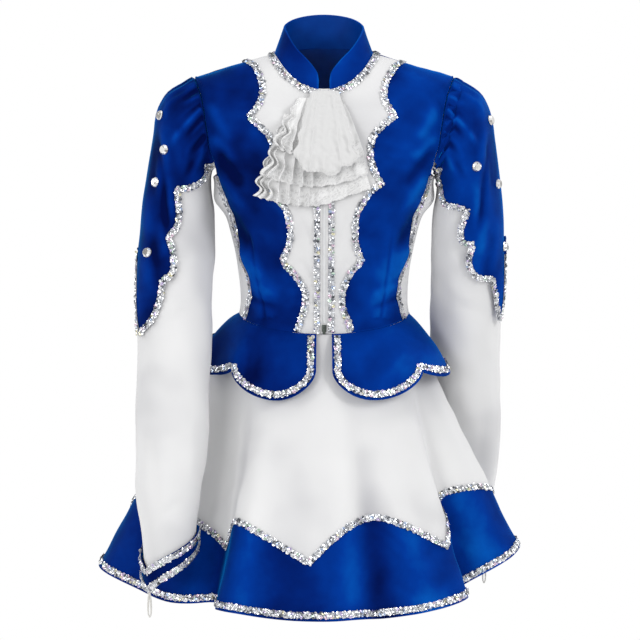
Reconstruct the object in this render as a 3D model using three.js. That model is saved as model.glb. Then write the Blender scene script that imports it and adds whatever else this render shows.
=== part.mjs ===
// Color guard dress, worn form: stand collar, zip front with jabot, bodice, lobed peplum,
// flared skirt with a scalloped band, and long sleeves with gathered velvet heads.
// Millimetres, +Z up, the front faces -Y. The origin lies midway between the two points
// where the shoulder seams meet the collar. The wearer's right is at -X.
import * as THREE from 'three';

// ---------------------------------------------------------------- sizes

const VELVET = 1.6;          // wall of a velvet piece
const CLOTH = 1.4;           // wall of a white piece
const LACE = 1.0;
const SEAM_GAP = 0.3;        // between neighbouring pieces
const LIFT = 0.5;            // clearance under a piece that lies on another
const TRIM_WIDTH = 10;       // sequin trim
const TRIM_RISE = 2.4;
const SIDES = { right: -1, left: 1 };

// The bodice is a stack of closed rings from the waist (0) to the shoulder ends (8) and
// the neck (9). Each ring has its half width, its depth before and behind the shoulder
// plane, and its height at the side, the centre front and the centre back.
const BODY = [
  { ring: 0, halfWidth: 114, front: 88, back: 84, side: -349, frontHeight: -364, backHeight: -353 },
  { ring: 1, halfWidth: 112, front: 88, back: 82, side: -330, frontHeight: -340, backHeight: -333 },
  { ring: 2, halfWidth: 115, front: 92, back: 84, side: -290, frontHeight: -297, backHeight: -292 },
  { ring: 3, halfWidth: 122, front: 99, back: 89, side: -250, frontHeight: -255, backHeight: -251 },
  { ring: 4, halfWidth: 133, front: 106, back: 94, side: -208, frontHeight: -212, backHeight: -208 },
  { ring: 5, halfWidth: 147, front: 106, back: 98, side: -165, frontHeight: -168, backHeight: -164 },
  { ring: 6, halfWidth: 167, front: 96, back: 98, side: -115, frontHeight: -128, backHeight: -112 },
  { ring: 7, halfWidth: 172, front: 83, back: 88, side: -70, frontHeight: -98, backHeight: -62 },
  { ring: 8, halfWidth: 170, front: 68, back: 66, side: -32, frontHeight: -74, backHeight: -24 },
];
const NECK = { ring: 9, halfWidth: 64, front: 58, back: 45, side: 0, frontHeight: -46, backHeight: 6 };
const BOXINESS = 0.12;       // how far a ring is fuller than an ellipse at its corners

// Half of the white front piece: its jagged edge in the front view, from the shoulder
// seam down to the waist, on the wearer's right and left.
const PLASTRON_TOP = 105;
const PLASTRON_EDGE = [
  { height: -17, right: 91, left: 94 },
  { height: -32, right: 83, left: 83 },
  { height: -50, right: 80, left: 78 },
  { height: -65, right: 84, left: 80 },
  { height: -82, right: 97, left: 92 },
  { height: -91, right: 87, left: 78 },
  { height: -104, right: 73, left: 65 },
  { height: -117, right: 66, left: 60 },
  { height: -132, right: 66, left: 60 },
  { height: -146, right: 67, left: 63 },
  { height: -157, right: 71, left: 67 },
  { height: -167, right: 78, left: 74 },
  { height: -175, right: 67, left: 61 },
  { height: -189, right: 57, left: 51 },
  { height: -202, right: 48, left: 43 },
  { height: -221, right: 44, left: 40 },
  { height: -245, right: 45, left: 41 },
  { height: -269, right: 55, left: 48 },
  { height: -279, right: 44, left: 37 },
  { height: -294, right: 32, left: 29 },
  { height: -311, right: 24, left: 23 },
  { height: -330, right: 25, left: 25 },
  { height: -348, right: 31, left: 31 },
];
const PLASTRON_WAIST = 36;
// Where the first rows of the white front piece meet the collar seam, round the neck.
const PLASTRON_NECK = [90, 80, 69, 58, 47, 36, 25, 14];

// Outer edge of the front panel: the armhole down to the armpit, then the side edge.
const OUTER_EDGE = [
  { height: -32, across: 170.5 },
  { height: -42, across: 166 },
  { height: -54, across: 161 },
  { height: -70, across: 157 },
  { height: -89, across: 154 },
  { height: -106, across: 151 },
  { height: -125, across: 148 },
  { height: -140, across: 144 },
  { height: -157, across: 140 },
  { height: -178, across: 134 },
  { height: -200, across: 125 },
  { height: -222, across: 120 },
  { height: -247, across: 114 },
  { height: -270, across: 109 },
  { height: -292, across: 100 },
  { height: -316, across: 98 },
  { height: -347, across: 105 },
];
const SHOULDER_END = -32;
const ARMPIT = -158;
const ARMPIT_SCOOP = 0.1;    // of a ring, how far the armhole dips under the arm

// Stand collar: rises from the neck ring, leans in, and is rounded off at its front ends.
const COLLAR = { wall: 2, frontGap: 6.5, lean: 11, frontRise: 32, backRise: 43, endRadius: 30, trimInset: 6.4 };

// Peplum: how far the velvet reaches from the centre line at a depth of 80 mm below the
// waist seam, round the body from the centre front (0) over the wearer's left (90).
const PEPLUM_DEPTH = 80;
const PEPLUM_REACH = [
  { turn: 0, reach: 137 }, { turn: 25, reach: 147 }, { turn: 50, reach: 168 },
  { turn: 68, reach: 178 }, { turn: 82, reach: 174 }, { turn: 96, reach: 150 },
  { turn: 116, reach: 146 }, { turn: 145, reach: 155 }, { turn: 165, reach: 147 },
  { turn: 180, reach: 141 }, { turn: 197, reach: 150 }, { turn: 220, reach: 161 },
  { turn: 245, reach: 176 }, { turn: 262, reach: 186 }, { turn: 276, reach: 184 },
  { turn: 290, reach: 161 }, { turn: 310, reach: 158 }, { turn: 335, reach: 147 },
];
// Lobes of one half of the peplum: the angles between which each lies, and its depth
// where it starts, at its lowest and where it ends in a notch.
const PEPLUM_LOBES = [
  { from: 4.5, to: 54, start: 44, depth: 82, end: 57 },
  { from: 54, to: 97, start: 57, depth: 73, end: 36 },
  { from: 97, to: 139, start: 36, depth: 68, end: 44 },
  { from: 139, to: 179.6, start: 44, depth: 76, end: 50 },
];
const PEPLUM_TRIM_INSET = 8.5;

// Hem of the skirt seen from above: reach from the centre line and height of each fold.
const HEM = [
  { turn: 0, reach: 246, height: -706 }, { turn: 16, reach: 240, height: -706 },
  { turn: 32, reach: 248, height: -704 }, { turn: 48, reach: 249, height: -698 },
  { turn: 59, reach: 216, height: -696 }, { turn: 72, reach: 262, height: -665 },
  { turn: 84, reach: 258, height: -658 }, { turn: 100, reach: 166, height: -704 },
  { turn: 122, reach: 170, height: -708 }, { turn: 140, reach: 236, height: -704 },
  { turn: 154, reach: 262, height: -702 }, { turn: 168, reach: 232, height: -706 },
  { turn: 184, reach: 258, height: -703 }, { turn: 200, reach: 228, height: -706 },
  { turn: 216, reach: 264, height: -702 }, { turn: 230, reach: 236, height: -705 },
  { turn: 248, reach: 296, height: -700 }, { turn: 266, reach: 313, height: -701 },
  { turn: 282, reach: 264, height: -713 }, { turn: 296, reach: 228, height: -722 },
  { turn: 310, reach: 190, height: -716 }, { turn: 324, reach: 236, height: -706 },
  { turn: 336, reach: 246, height: -704 }, { turn: 348, reach: 241, height: -707 },
];
// Scallops of the band's top edge: the angle of each low tip and of the peak after it,
// and their places down the skirt from the waist (0) to the hem (1).
const BAND_TIP = 0.805;
const BAND_PEAK = 0.655;
const BAND_SCALLOPS = [
  { tip: -5, peak: 14 }, { tip: 45, peak: 60 }, { tip: 86, peak: 100 },
  { tip: 124, peak: 137 }, { tip: 158, peak: 170 }, { tip: 193, peak: 205 },
  { tip: 229, peak: 241 }, { tip: 271, peak: 285 }, { tip: 313, peak: 325 },
];
const HEM_TRIM_PLACE = 0.972;
const END_SHY = 1.6;         // degrees by which a trim stops short of a side seam

// Sleeve rings from the armhole (0) to past the cuff (13): the outermost and innermost
// points in the front view, and the half depth from front to back.
const SLEEVE = [
  { ring: 0, outX: 170, outZ: -34, inX: 149, inZ: -160, depth: 44 },
  { ring: 1, outX: 184, outZ: -42, inX: 150, inZ: -170, depth: 51 },
  { ring: 2, outX: 205, outZ: -55, inX: 150, inZ: -180, depth: 56 },
  { ring: 3, outX: 219, outZ: -80, inX: 149, inZ: -193, depth: 57 },
  { ring: 4, outX: 228, outZ: -120, inX: 147, inZ: -210, depth: 56 },
  { ring: 5, outX: 236, outZ: -170, inX: 147, inZ: -236, depth: 54 },
  { ring: 6, outX: 243, outZ: -232, inX: 148, inZ: -272, depth: 52 },
  { ring: 7, outX: 248, outZ: -300, inX: 149, inZ: -320, depth: 50 },
  { ring: 8, outX: 249, outZ: -380, inX: 149, inZ: -386, depth: 48 },
  { ring: 9, outX: 249, outZ: -460, inX: 151, inZ: -458, depth: 47 },
  { ring: 10, outX: 249, outZ: -530, inX: 153, inZ: -524, depth: 45 },
  { ring: 11, outX: 247, outZ: -585, inX: 161, inZ: -580, depth: 41 },
  { ring: 12, outX: 240, outZ: -638, inX: 168, inZ: -632, depth: 37 },
  { ring: 13, outX: 236, outZ: -706, inX: 171, inZ: -700, depth: 35 },
];
const LAST_RING = 13;
// The arms hang a little apart: each sleeve's lower end is shifted outward, to the front
// (-) or back (+), and up, as an arm swings.
const HANG = { right: { out: -3, swing: -150, lift: 20 }, left: { out: -4, swing: 76, lift: 4 } };
const ARMHOLE_GAP = 1.1;     // from the armhole's edge to the sleeve head
const HEAD_SINK = 2.5;       // the sleeve head starts below the armhole's velvet edge
const HEAD_GATHERS = 18;     // gathers round a sleeve head
const GATHER_RISE = 4.2;

// Lower edge of the velvet sleeve piece in the front view, from the armhole to its point.
const OVERSLEEVE_EDGE = {
  right: [
    { across: 154, height: -143 }, { across: 160, height: -161 }, { across: 171, height: -173 },
    { across: 193, height: -178 }, { across: 191, height: -196 }, { across: 190, height: -213 },
    { across: 194, height: -228 }, { across: 203, height: -239 }, { across: 197, height: -256 },
    { across: 197, height: -284 }, { across: 209, height: -293 }, { across: 211, height: -316 },
    { across: 221, height: -341 }, { across: 238, height: -362 },
  ],
  left: [
    { across: 151, height: -148 }, { across: 157, height: -176 }, { across: 161, height: -196 },
    { across: 175, height: -200 }, { across: 188, height: -206 }, { across: 181, height: -230 },
    { across: 183, height: -247 }, { across: 196, height: -251 }, { across: 192, height: -277 },
    { across: 203, height: -296 }, { across: 223, height: -300 }, { across: 227, height: -318 },
    { across: 230, height: -337 }, { across: 234, height: -359 },
  ],
};
const STONES = {
  right: [
    { across: 212, height: -83 }, { across: 206, height: -126 },
    { across: 219, height: -169 }, { across: 228, height: -259 },
  ],
  left: [
    { across: 217, height: -89 }, { across: 198, height: -147 },
    { across: 229, height: -173 }, { across: 240, height: -259 },
  ],
};
const STONE = { radius: 6.8, rise: 4.2, facets: 8 };

// Cuff: its edges run level round the wrist and drop to a point over the hand's back.
const CUFF = { pointAt: 40, upper: 11.94, upperPoint: 12.6, lower: 12.32, lowerPoint: 13.08 };
const LOOP = { length: 37, halfWidth: 4, band: 3, wall: 1.2 };

// Zip down the centre front, with a braid on each side below the jabot.
const ZIP = { tape: 5.2, chain: 2.1, chainRise: 1.5, bottom: 0.62 };
const SLIDER = { top: 4.4, foot: 6.6, length: 9.5, rise: 3.2 };
const BRAID = { across: 10.5, top: -180, width: 8 };

// Jabot: lace tiers, each a gathered sheet that widens downwards and waves at its edge.
const JABOT = [
  { name: 'lower', top: -112, bottom: -192, topHalf: 50, bottomHalf: 71, centre: -13, waves: 9, lead: 3.6, grow: 6.4 },
  { name: 'middle', top: -80, bottom: -168, topHalf: 42, bottomHalf: 62, centre: -9, waves: 8, lead: 3.6, grow: 15.1 },
  { name: 'upper', top: -58, bottom: -134, topHalf: 28, bottomHalf: 54, centre: -6, waves: 7, lead: 1.8, grow: 25.6 },
  { name: 'front', top: -50, bottom: -152, topHalf: 16, bottomHalf: 34, centre: 4, waves: 4, lead: 4.9, grow: 37 },
];

// ---------------------------------------------------------------- materials

const blueVelvet = new THREE.MeshStandardMaterial({ color: '#0a3aa0', roughness: 0.9 });
const whiteCloth = new THREE.MeshStandardMaterial({ color: '#f2f2f2', roughness: 0.75 });
const whiteLace = new THREE.MeshStandardMaterial({ color: '#f6f6f6', roughness: 0.8 });
const sequins = new THREE.MeshStandardMaterial({ color: '#c9ced6', roughness: 0.25, metalness: 0.8 });
const crystal = new THREE.MeshStandardMaterial({ color: '#e4e8ee', roughness: 0.08, metalness: 0.6 });
const zipMetal = new THREE.MeshStandardMaterial({ color: '#4a5450', roughness: 0.4, metalness: 0.8 });
const zipChain = new THREE.MeshStandardMaterial({ color: '#e6e6e6', roughness: 0.5 });
const elastic = new THREE.MeshStandardMaterial({ color: '#e9e4da', roughness: 0.8 });

// ---------------------------------------------------------------- curves and tables

const lerp = (from, to, part) => from + (to - from) * part;
const clamp = THREE.MathUtils.clamp;
const radians = THREE.MathUtils.degToRad;
const smooth = (from, to, at) => THREE.MathUtils.smoothstep(at, from, to);
const steps = (count) => Array.from({ length: count + 1 }, (unused, index) => index / count);

// Smooth value of a table's column at a place along its key column.
function column(table, key, name, at) {
  const rising = table[1][key] > table[0][key];
  let row = 0;
  while (row < table.length - 2 && (rising ? at > table[row + 1][key] : at < table[row + 1][key])) row += 1;
  const slope = (index) => {
    const before = table[Math.max(index - 1, 0)];
    const after = table[Math.min(index + 1, table.length - 1)];
    return (after[name] - before[name]) / (after[key] - before[key]);
  };
  const span = table[row + 1][key] - table[row][key];
  const part = clamp((at - table[row][key]) / span, 0, 1);
  const square = part * part;
  const cube = square * part;
  return (2 * cube - 3 * square + 1) * table[row][name] + (cube - 2 * square + part) * span * slope(row)
    + (3 * square - 2 * cube) * table[row + 1][name] + (cube - square) * span * slope(row + 1);
}

// The same round a full turn: the table's first row follows its last.
function roundColumn(table, name, turn) {
  const wrapped = [-2, -1].map((back) => table[table.length + back]);
  const before = wrapped.map((row) => ({ ...row, turn: row.turn - 360 }));
  const after = [0, 1].map((index) => ({ ...table[index], turn: table[index].turn + 360 }));
  return column([...before, ...table, ...after], 'turn', name, ((turn % 360) + 360) % 360);
}

// Finds where a surface passes a point of the front view, by damped Newton steps.
function locate(surface, across, height, start) {
  let { u, v } = start;
  const miss = (du, dv) => {
    const point = surface(u + du, v + dv);
    return [point.x - across, point.z - height];
  };
  const DU = 0.2;
  const DV = 0.01;
  for (let round = 0; round < 40; round += 1) {
    const here = miss(0, 0);
    const alongU = miss(DU, 0).map((value, axis) => (value - here[axis]) / DU);
    const alongV = miss(0, DV).map((value, axis) => (value - here[axis]) / DV);
    const damping = 0.02;
    const uu = alongU[0] ** 2 + alongU[1] ** 2 + damping;
    const vv = alongV[0] ** 2 + alongV[1] ** 2 + damping;
    const uv = alongU[0] * alongV[0] + alongU[1] * alongV[1];
    const gu = alongU[0] * here[0] + alongU[1] * here[1];
    const gv = alongV[0] * here[0] + alongV[1] * here[1];
    const determinant = uu * vv - uv * uv;
    u -= clamp((vv * gu - uv * gv) / determinant, -8, 8);
    v -= clamp((uu * gv - uv * gu) / determinant, -0.5, 0.5);
  }
  return { u, v };
}

// Outward normal of a surface by small steps; `facing` is -1 where it is left-handed.
function normalOf(surface, u, v, facing = 1) {
  const alongU = surface(u + 0.2, v).sub(surface(u - 0.2, v));
  const alongV = surface(u, v + 0.005).sub(surface(u, v - 0.005));
  return alongU.cross(alongV).normalize().multiplyScalar(facing);
}

// ---------------------------------------------------------------- solids

function meshFrom(name, points, faces, material) {
  const geometry = new THREE.BufferGeometry();
  geometry.setAttribute('position', new THREE.Float32BufferAttribute(points.flatMap((p) => [p.x, p.y, p.z]), 3));
  let volume = 0;
  for (const [a, b, c] of faces) volume += points[a].dot(points[b].clone().cross(points[c]));
  const outward = volume > 0 ? faces : faces.map(([a, b, c]) => [a, c, b]);
  geometry.setIndex(outward.flat());
  geometry.computeVertexNormals();
  const mesh = new THREE.Mesh(geometry, material);
  mesh.name = name;
  return mesh;
}

// Joins two rows of points that may differ in number, by their places along the rows.
function stitch(upper, lower, add) {
  let i = 0;
  let j = 0;
  while (i < upper.length - 1 || j < lower.length - 1) {
    const upperNext = i < upper.length - 1 ? upper[i + 1].place + upper[i].place : Infinity;
    const lowerNext = j < lower.length - 1 ? lower[j + 1].place + lower[j].place : Infinity;
    if (upperNext <= lowerNext) {
      add(upper[i].index, lower[j].index, upper[i + 1].index);
      i += 1;
    } else {
      add(upper[i].index, lower[j].index, lower[j + 1].index);
      j += 1;
    }
  }
}

// A cloth wall: rows of outer points with their normals, and the same rows moved in.
function wall(name, rows, thickness, material, closed = false) {
  const points = [];
  const faces = [];
  const layer = (depth) => rows.map((row) => {
    const placed = row.map((sample, order) => {
      points.push(sample.point.clone().addScaledVector(sample.normal, -depth));
      return { index: points.length - 1, place: order / (closed ? row.length : row.length - 1) };
    });
    return closed ? [...placed, { index: placed[0].index, place: 1 }] : placed;
  });
  const outer = layer(0);
  const inner = layer(thickness);
  for (let row = 0; row < rows.length - 1; row += 1) {
    stitch(outer[row], outer[row + 1], (a, b, c) => faces.push([a, b, c]));
    stitch(inner[row], inner[row + 1], (a, b, c) => faces.push([a, c, b]));
  }
  const rim = (from, to, flip) => {
    for (let k = 0; k < from.length - 1; k += 1) {
      const quad = [from[k].index, from[k + 1].index, to[k + 1].index, to[k].index];
      if (flip) quad.reverse();
      faces.push([quad[0], quad[1], quad[2]], [quad[0], quad[2], quad[3]]);
    }
  };
  rim(outer[0], inner[0], false);
  rim(outer.at(-1), inner.at(-1), true);
  if (!closed) {
    const edge = (layerRows, end) => layerRows.map((row) => row.at(end));
    rim(edge(outer, 0), edge(inner, 0), true);
    rim(edge(outer, -1), edge(inner, -1), false);
  }
  return meshFrom(name, points, faces, material);
}

// A low ridged strip sewn along a path of samples on a surface.
function strip(name, path, width, rise, material, lift = LIFT) {
  const points = [];
  const faces = [];
  path.forEach((sample, index) => {
    const before = path[Math.max(index - 1, 0)].point;
    const after = path[Math.min(index + 1, path.length - 1)].point;
    const inward = sample.point.clone().sub(before).normalize();
    const onward = after.clone().sub(sample.point).normalize();
    const along = inward.clone().add(onward).normalize();
    const across = sample.normal.clone().cross(along).normalize();
    const turned = Math.max(along.dot(index ? inward : onward), 0.72);
    const base = sample.point.clone().addScaledVector(sample.normal, lift + (sample.lift ?? 0));
    points.push(base.clone().addScaledVector(across, width / 2 / turned));
    points.push(base.clone().addScaledVector(across, -width / 2 / turned));
    points.push(base.clone().addScaledVector(sample.normal, rise));
    if (index === 0) return;
    const [a, b] = [3 * index - 3, 3 * index];
    for (const [p, q] of [[0, 1], [1, 2], [2, 0]]) {
      faces.push([a + p, a + q, b + q], [a + p, b + q, b + p]);
    }
  });
  const last = points.length - 3;
  faces.push([0, 2, 1], [last, last + 1, last + 2]);
  return meshFrom(name, points, faces, material);
}

// ---------------------------------------------------------------- bodice surface

// Point of the bodice at an angle (0 front, 90 wearer's left, 180 back) and a ring.
function body(turn, ring) {
  const size = (name) => (ring <= 8
    ? column(BODY, 'ring', name, ring)
    : lerp(BODY[8][name], NECK[name], ring - 8));
  const sine = Math.sin(radians(turn));
  const cosine = Math.cos(radians(turn));
  const isFront = cosine >= 0;
  const depth = size(isFront ? 'front' : 'back');
  const side = size('side');
  const centre = size(isFront ? 'frontHeight' : 'backHeight');
  return new THREE.Vector3(
    size('halfWidth') * sine * (1 + BOXINESS * cosine * cosine),
    -depth * cosine * (1 + BOXINESS * sine * sine),
    side + (centre - side) * cosine * cosine,
  );
}

const bodySample = (turn, ring) => ({ point: body(turn, ring), normal: normalOf(body, turn, ring) });

function onFront(across, height) {
  const start = { u: Math.sign(across) * 50, v: clamp(8.6 + height / 42, 0, 8.5) };
  const found = locate(body, across, height, start);
  return { turn: clamp(found.u, -90, 90), ring: clamp(found.v, 0, 9) };
}

const outerAcross = (height) => column(OUTER_EDGE, 'height', 'across', height);

// Rows between two others, where the cloth bends over the shoulder.
function between(above, below, parts) {
  const mix = (from, to, part) => ({ turn: lerp(from.turn, to.turn, part), ring: lerp(from.ring, to.ring, part) });
  return parts.map((part) => ({
    inner: mix(above.inner, below.inner, part),
    outer: mix(above.outer, below.outer, part),
  }));
}

// Rows of one half of the bodice, from the shoulder seam to the waist: each has the place
// of the plastron's edge and of the outer edge.
function halfRows(side) {
  const sign = SIDES[side];
  const seamRing = 9 - (PLASTRON_TOP - NECK.halfWidth) / (BODY[8].halfWidth - NECK.halfWidth);
  const rows = [{ inner: { turn: sign * 90, ring: seamRing }, outer: { turn: sign * 90, ring: 8 } }];
  const lowest = PLASTRON_EDGE.at(-1).height;
  PLASTRON_EDGE.forEach((row, index) => {
    const part = (index + 1) / (PLASTRON_EDGE.length + 1);
    const outerHeight = lerp(SHOULDER_END, -346, clamp((row.height + 12) / (lowest + 12), part * 0.9, 1) * 0.96);
    rows.push({
      inner: onFront(sign * row[side], row.height),
      outer: onFront(sign * outerAcross(outerHeight), outerHeight),
      outerHeight,
    });
  });
  rows.push({
    inner: { turn: onFront(sign * PLASTRON_WAIST, -360).turn, ring: 0 },
    outer: { turn: onFront(sign * 106, -348).turn, ring: 0 },
    outerHeight: -349,
  });
  return [
    rows[0], ...between(rows[0], rows[1], [0.35, 0.7]),
    rows[1], ...between(rows[1], rows[2], [0.5]), ...rows.slice(2),
  ];
}

const half = { right: halfRows('right'), left: halfRows('left') };
const armpitRow = half.left.findIndex((row) => row.outerHeight <= ARMPIT);

// Moves a sample along its row, to leave a seam's gap to the neighbouring piece.
function trimmedRow(samples, startGap, endGap) {
  const shift = (at, toward, gap) => {
    const way = toward.point.clone().sub(at.point);
    if (way.lengthSq() > 1e-6) at.point.addScaledVector(way.normalize(), gap);
  };
  shift(samples[0], samples[1], startGap);
  shift(samples.at(-1), samples.at(-2), endGap);
  return samples;
}

function bodyPanel(name, rows, columns, thickness, material, gaps = [SEAM_GAP, SEAM_GAP]) {
  const samples = rows.map(({ from, to, dip = 0 }, row) => trimmedRow(
    steps(columns(row)).map((part) => bodySample(
      lerp(from.turn, to.turn, part),
      lerp(from.ring, to.ring, part) - dip * Math.sin(Math.PI * part),
    )),
    ...gaps,
  ));
  return wall(name, samples, thickness, material);
}

// ---------------------------------------------------------------- the pieces

const dress = new THREE.Group();
const HALF_GAP = SEAM_GAP / 2 + 0.05;

function plastron(side) {
  const sign = SIDES[side];
  const zipTurn = (ring) => (ZIP.tape + SEAM_GAP) / radians(1) / body(90, ring).x / (1 + BOXINESS);
  const rows = half[side].map(({ inner }, index) => {
    const ring = lerp(NECK.ring, inner.ring, smooth(PLASTRON_NECK.length, PLASTRON_NECK.length + 5, index));
    const turn = PLASTRON_NECK[index] ?? zipTurn(ring);
    return { from: { turn: sign * turn, ring }, to: inner };
  });
  return bodyPanel(`plastron_${side}`, rows, () => 4, CLOTH, whiteCloth, [0, HALF_GAP]);
}

function frontPanel(side) {
  const rows = half[side].map((row) => ({ from: row.inner, to: row.outer }));
  return bodyPanel(`front_panel_${side}`, rows, () => 5, VELVET, blueVelvet, [HALF_GAP, 0]);
}

const toBack = (place, sign) => ({ turn: sign * 180 - place.turn, ring: place.ring });

function sidePanel(side) {
  const sign = SIDES[side];
  const rows = half[side].slice(armpitRow).map((row, index) => ({
    from: row.outer,
    to: toBack(row.outer, sign),
    dip: index === 0 ? ARMPIT_SCOOP : 0,
  }));
  return bodyPanel(`side_panel_${side}`, rows, () => 4, CLOTH, whiteCloth);
}

function backPanel() {
  const edge = (side) => {
    const sign = SIDES[side];
    return [
      { turn: sign * 90, ring: NECK.ring },
      { turn: sign * 90, ring: 8.5 },
      ...half[side].map((row) => toBack(row.outer, sign)),
    ];
  };
  const right = edge('right');
  const left = edge('left');
  const rows = left.map((place, index) => {
    const from = { turn: place.turn + 0.3, ring: place.ring };
    const to = { turn: 360 + right[index].turn - 0.3, ring: right[index].ring };
    return { from, to };
  });
  const samples = rows.map(({ from, to }, index) => {
    const centreRing = NECK.ring * (1 - index / (rows.length - 1));
    return trimmedRow(steps(index < 3 ? 18 : 7).map((part) => {
      const edgeRing = lerp(from.ring, to.ring, part);
      const middle = Math.sin(Math.PI * part);
      return bodySample(lerp(from.turn, to.turn, part), lerp(edgeRing, centreRing, middle * smooth(0, 6, index)));
    }), HALF_GAP, HALF_GAP);
  });
  return wall('back', samples, VELVET, blueVelvet);
}

function collarPoint(turn, rise) {
  const base = body(turn, NECK.ring);
  const outward = new THREE.Vector3(base.x, base.y, 0).normalize();
  return base.addScaledVector(outward, -COLLAR.lean * rise / COLLAR.frontRise + 0.4).add(new THREE.Vector3(0, 0, rise + 1));
}

function collar() {
  const width = NECK.halfWidth * radians(1);
  const endTurn = COLLAR.frontGap / width;
  const count = 32;
  const rows = [0, 0.5, 1].map((part) => steps(count).map((place) => {
    const eased = (1 - Math.cos(Math.PI * place)) / 2;
    const turn = lerp(endTurn, 360 - endTurn, lerp(place, eased, 0.45));
    const fromEnd = Math.min(turn - endTurn, 360 - endTurn - turn) * width;
    const round = Math.max(COLLAR.endRadius - fromEnd, 0) / COLLAR.endRadius;
    const full = lerp(COLLAR.frontRise, COLLAR.backRise, (1 - Math.cos(radians(turn))) / 2);
    const top = full - COLLAR.endRadius * (1 - Math.sqrt(Math.max(1 - round * round, 0))) * 0.75;
    const rise = part * top;
    return { point: collarPoint(turn, rise), normal: normalOf(collarPoint, turn, rise) };
  }));
  return wall('collar', rows, COLLAR.wall, blueVelvet);
}

const collarTrimPath = steps(36).map((part) => {
  const turn = lerp(7, 353, part);
  const slope = body(turn, NECK.ring).distanceTo(body(turn, NECK.ring - 1));
  return bodySample(turn, NECK.ring - COLLAR.trimInset / slope);
});

for (const side of ['right', 'left']) {
  dress.add(plastron(side), frontPanel(side), sidePanel(side));
}
dress.add(backPanel(), collar());
dress.add(strip('collar_trim', collarTrimPath, TRIM_WIDTH - 1, TRIM_RISE, sequins, 0.7));

function bodyTrims(side) {
  const sign = SIDES[side];
  const rows = half[side];
  const sample = (place) => bodySample(place.turn, place.ring);
  const plastronPath = rows.map(({ inner }) => sample({ ...inner, ring: Math.max(inner.ring, 0.05) }));
  const frontPath = rows.slice(armpitRow).map((row) => sample(row.outer));
  const backPath = rows.slice(armpitRow).map((row) => sample(toBack(row.outer, sign)));
  const braidTop = onFront(sign * BRAID.across, BRAID.top).ring;
  const braidPath = steps(6).map((part) => {
    const ring = lerp(braidTop, 0.06, part);
    return bodySample(sign * BRAID.across / radians(1) / body(90, ring).x / (1 + BOXINESS), ring);
  });
  return [
    strip(`plastron_trim_${side}`, plastronPath, TRIM_WIDTH, TRIM_RISE, sequins),
    strip(`side_trim_${side}`, frontPath, TRIM_WIDTH - 2, TRIM_RISE, sequins),
    strip(`back_trim_${side}`, backPath, TRIM_WIDTH - 2, TRIM_RISE, sequins),
    strip(`zip_braid_${side}`, braidPath, BRAID.width, 1.9, sequins),
  ];
}
dress.add(...bodyTrims('right'), ...bodyTrims('left'));

function zip() {
  const rings = steps(16).map((part) => NECK.ring * (1 - part));
  const turnFor = (across, ring) => across / radians(1) / body(90, ring).x / (1 + BOXINESS);
  const tape = rings.map((ring) => [-1, 1].map((sign) => bodySample(turnFor(sign * ZIP.tape, ring), ring)));
  const chain = rings.filter((ring) => ring < 8.9).map((ring) => bodySample(0, Math.max(ring, ZIP.bottom)));
  const foot = bodySample(0, 0.12);
  const head = bodySample(0, ZIP.bottom);
  const up = head.point.clone().sub(foot.point).normalize();
  const across = new THREE.Vector3(1, 0, 0);
  const corners = [];
  for (const [place, halfWidth, rise] of [[0, SLIDER.foot / 2, 0.8], [0.5, SLIDER.foot / 2, 1], [1, SLIDER.top / 2, 0.8]]) {
    for (const [way, out] of [[-1, 0], [1, 0], [0.8, rise], [-0.8, rise]]) {
      corners.push(foot.point.clone().addScaledVector(up, place * SLIDER.length)
        .addScaledVector(across, way * halfWidth)
        .addScaledVector(foot.normal, LIFT + out * SLIDER.rise));
    }
  }
  const faces = [[0, 1, 2], [0, 2, 3], [8, 10, 9], [8, 11, 10]];
  for (const ring of [0, 4]) {
    for (const k of [0, 1, 2, 3]) {
      const next = (k + 1) % 4;
      faces.push([ring + k, ring + 4 + k, ring + 4 + next], [ring + k, ring + 4 + next, ring + next]);
    }
  }
  return [
    wall('zip_tape', tape, 1, whiteCloth),
    strip('zip_chain', chain, 2 * ZIP.chain, ZIP.chainRise, zipChain, 0.35),
    meshFrom('zip_slider', corners, faces, zipMetal),
  ];
}
dress.add(...zip());

// ---------------------------------------------------------------- peplum

// Angle of the waist seam's point, so that flared pieces start on the bodice's ring.
function waistPoint(turn) {
  return body(turn, 0);
}

function peplumPoint(turn, depth) {
  const start = waistPoint(turn);
  const reach = roundColumn(PEPLUM_REACH, 'reach', turn);
  const end = new THREE.Vector3(reach * Math.sin(radians(turn)), -reach * Math.cos(radians(turn)), start.z - PEPLUM_DEPTH);
  const part = (depth + 1) / PEPLUM_DEPTH;
  return start.add(end.sub(start).multiply(new THREE.Vector3(part ** 0.9, part ** 0.9, part)));
}

function peplumEdge(sign) {
  const edge = [];
  for (const lobe of PEPLUM_LOBES) {
    const count = 9;
    for (const part of steps(count)) {
      if (part === 1 && lobe !== PEPLUM_LOBES.at(-1)) continue;
      const eased = (1 - Math.cos(Math.PI * part)) / 2;
      const across = lerp(part, eased, 0.6);
      edge.push({
        turn: sign * lerp(lobe.from, lobe.to, across),
        depth: lerp(lerp(lobe.start, lobe.end, across), lobe.depth, Math.sin(Math.PI * across) ** 0.62),
      });
    }
  }
  return edge;
}

const peplumSample = (turn, depth) => ({
  point: peplumPoint(turn, depth),
  normal: normalOf(peplumPoint, turn, depth, -1),
});

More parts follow.
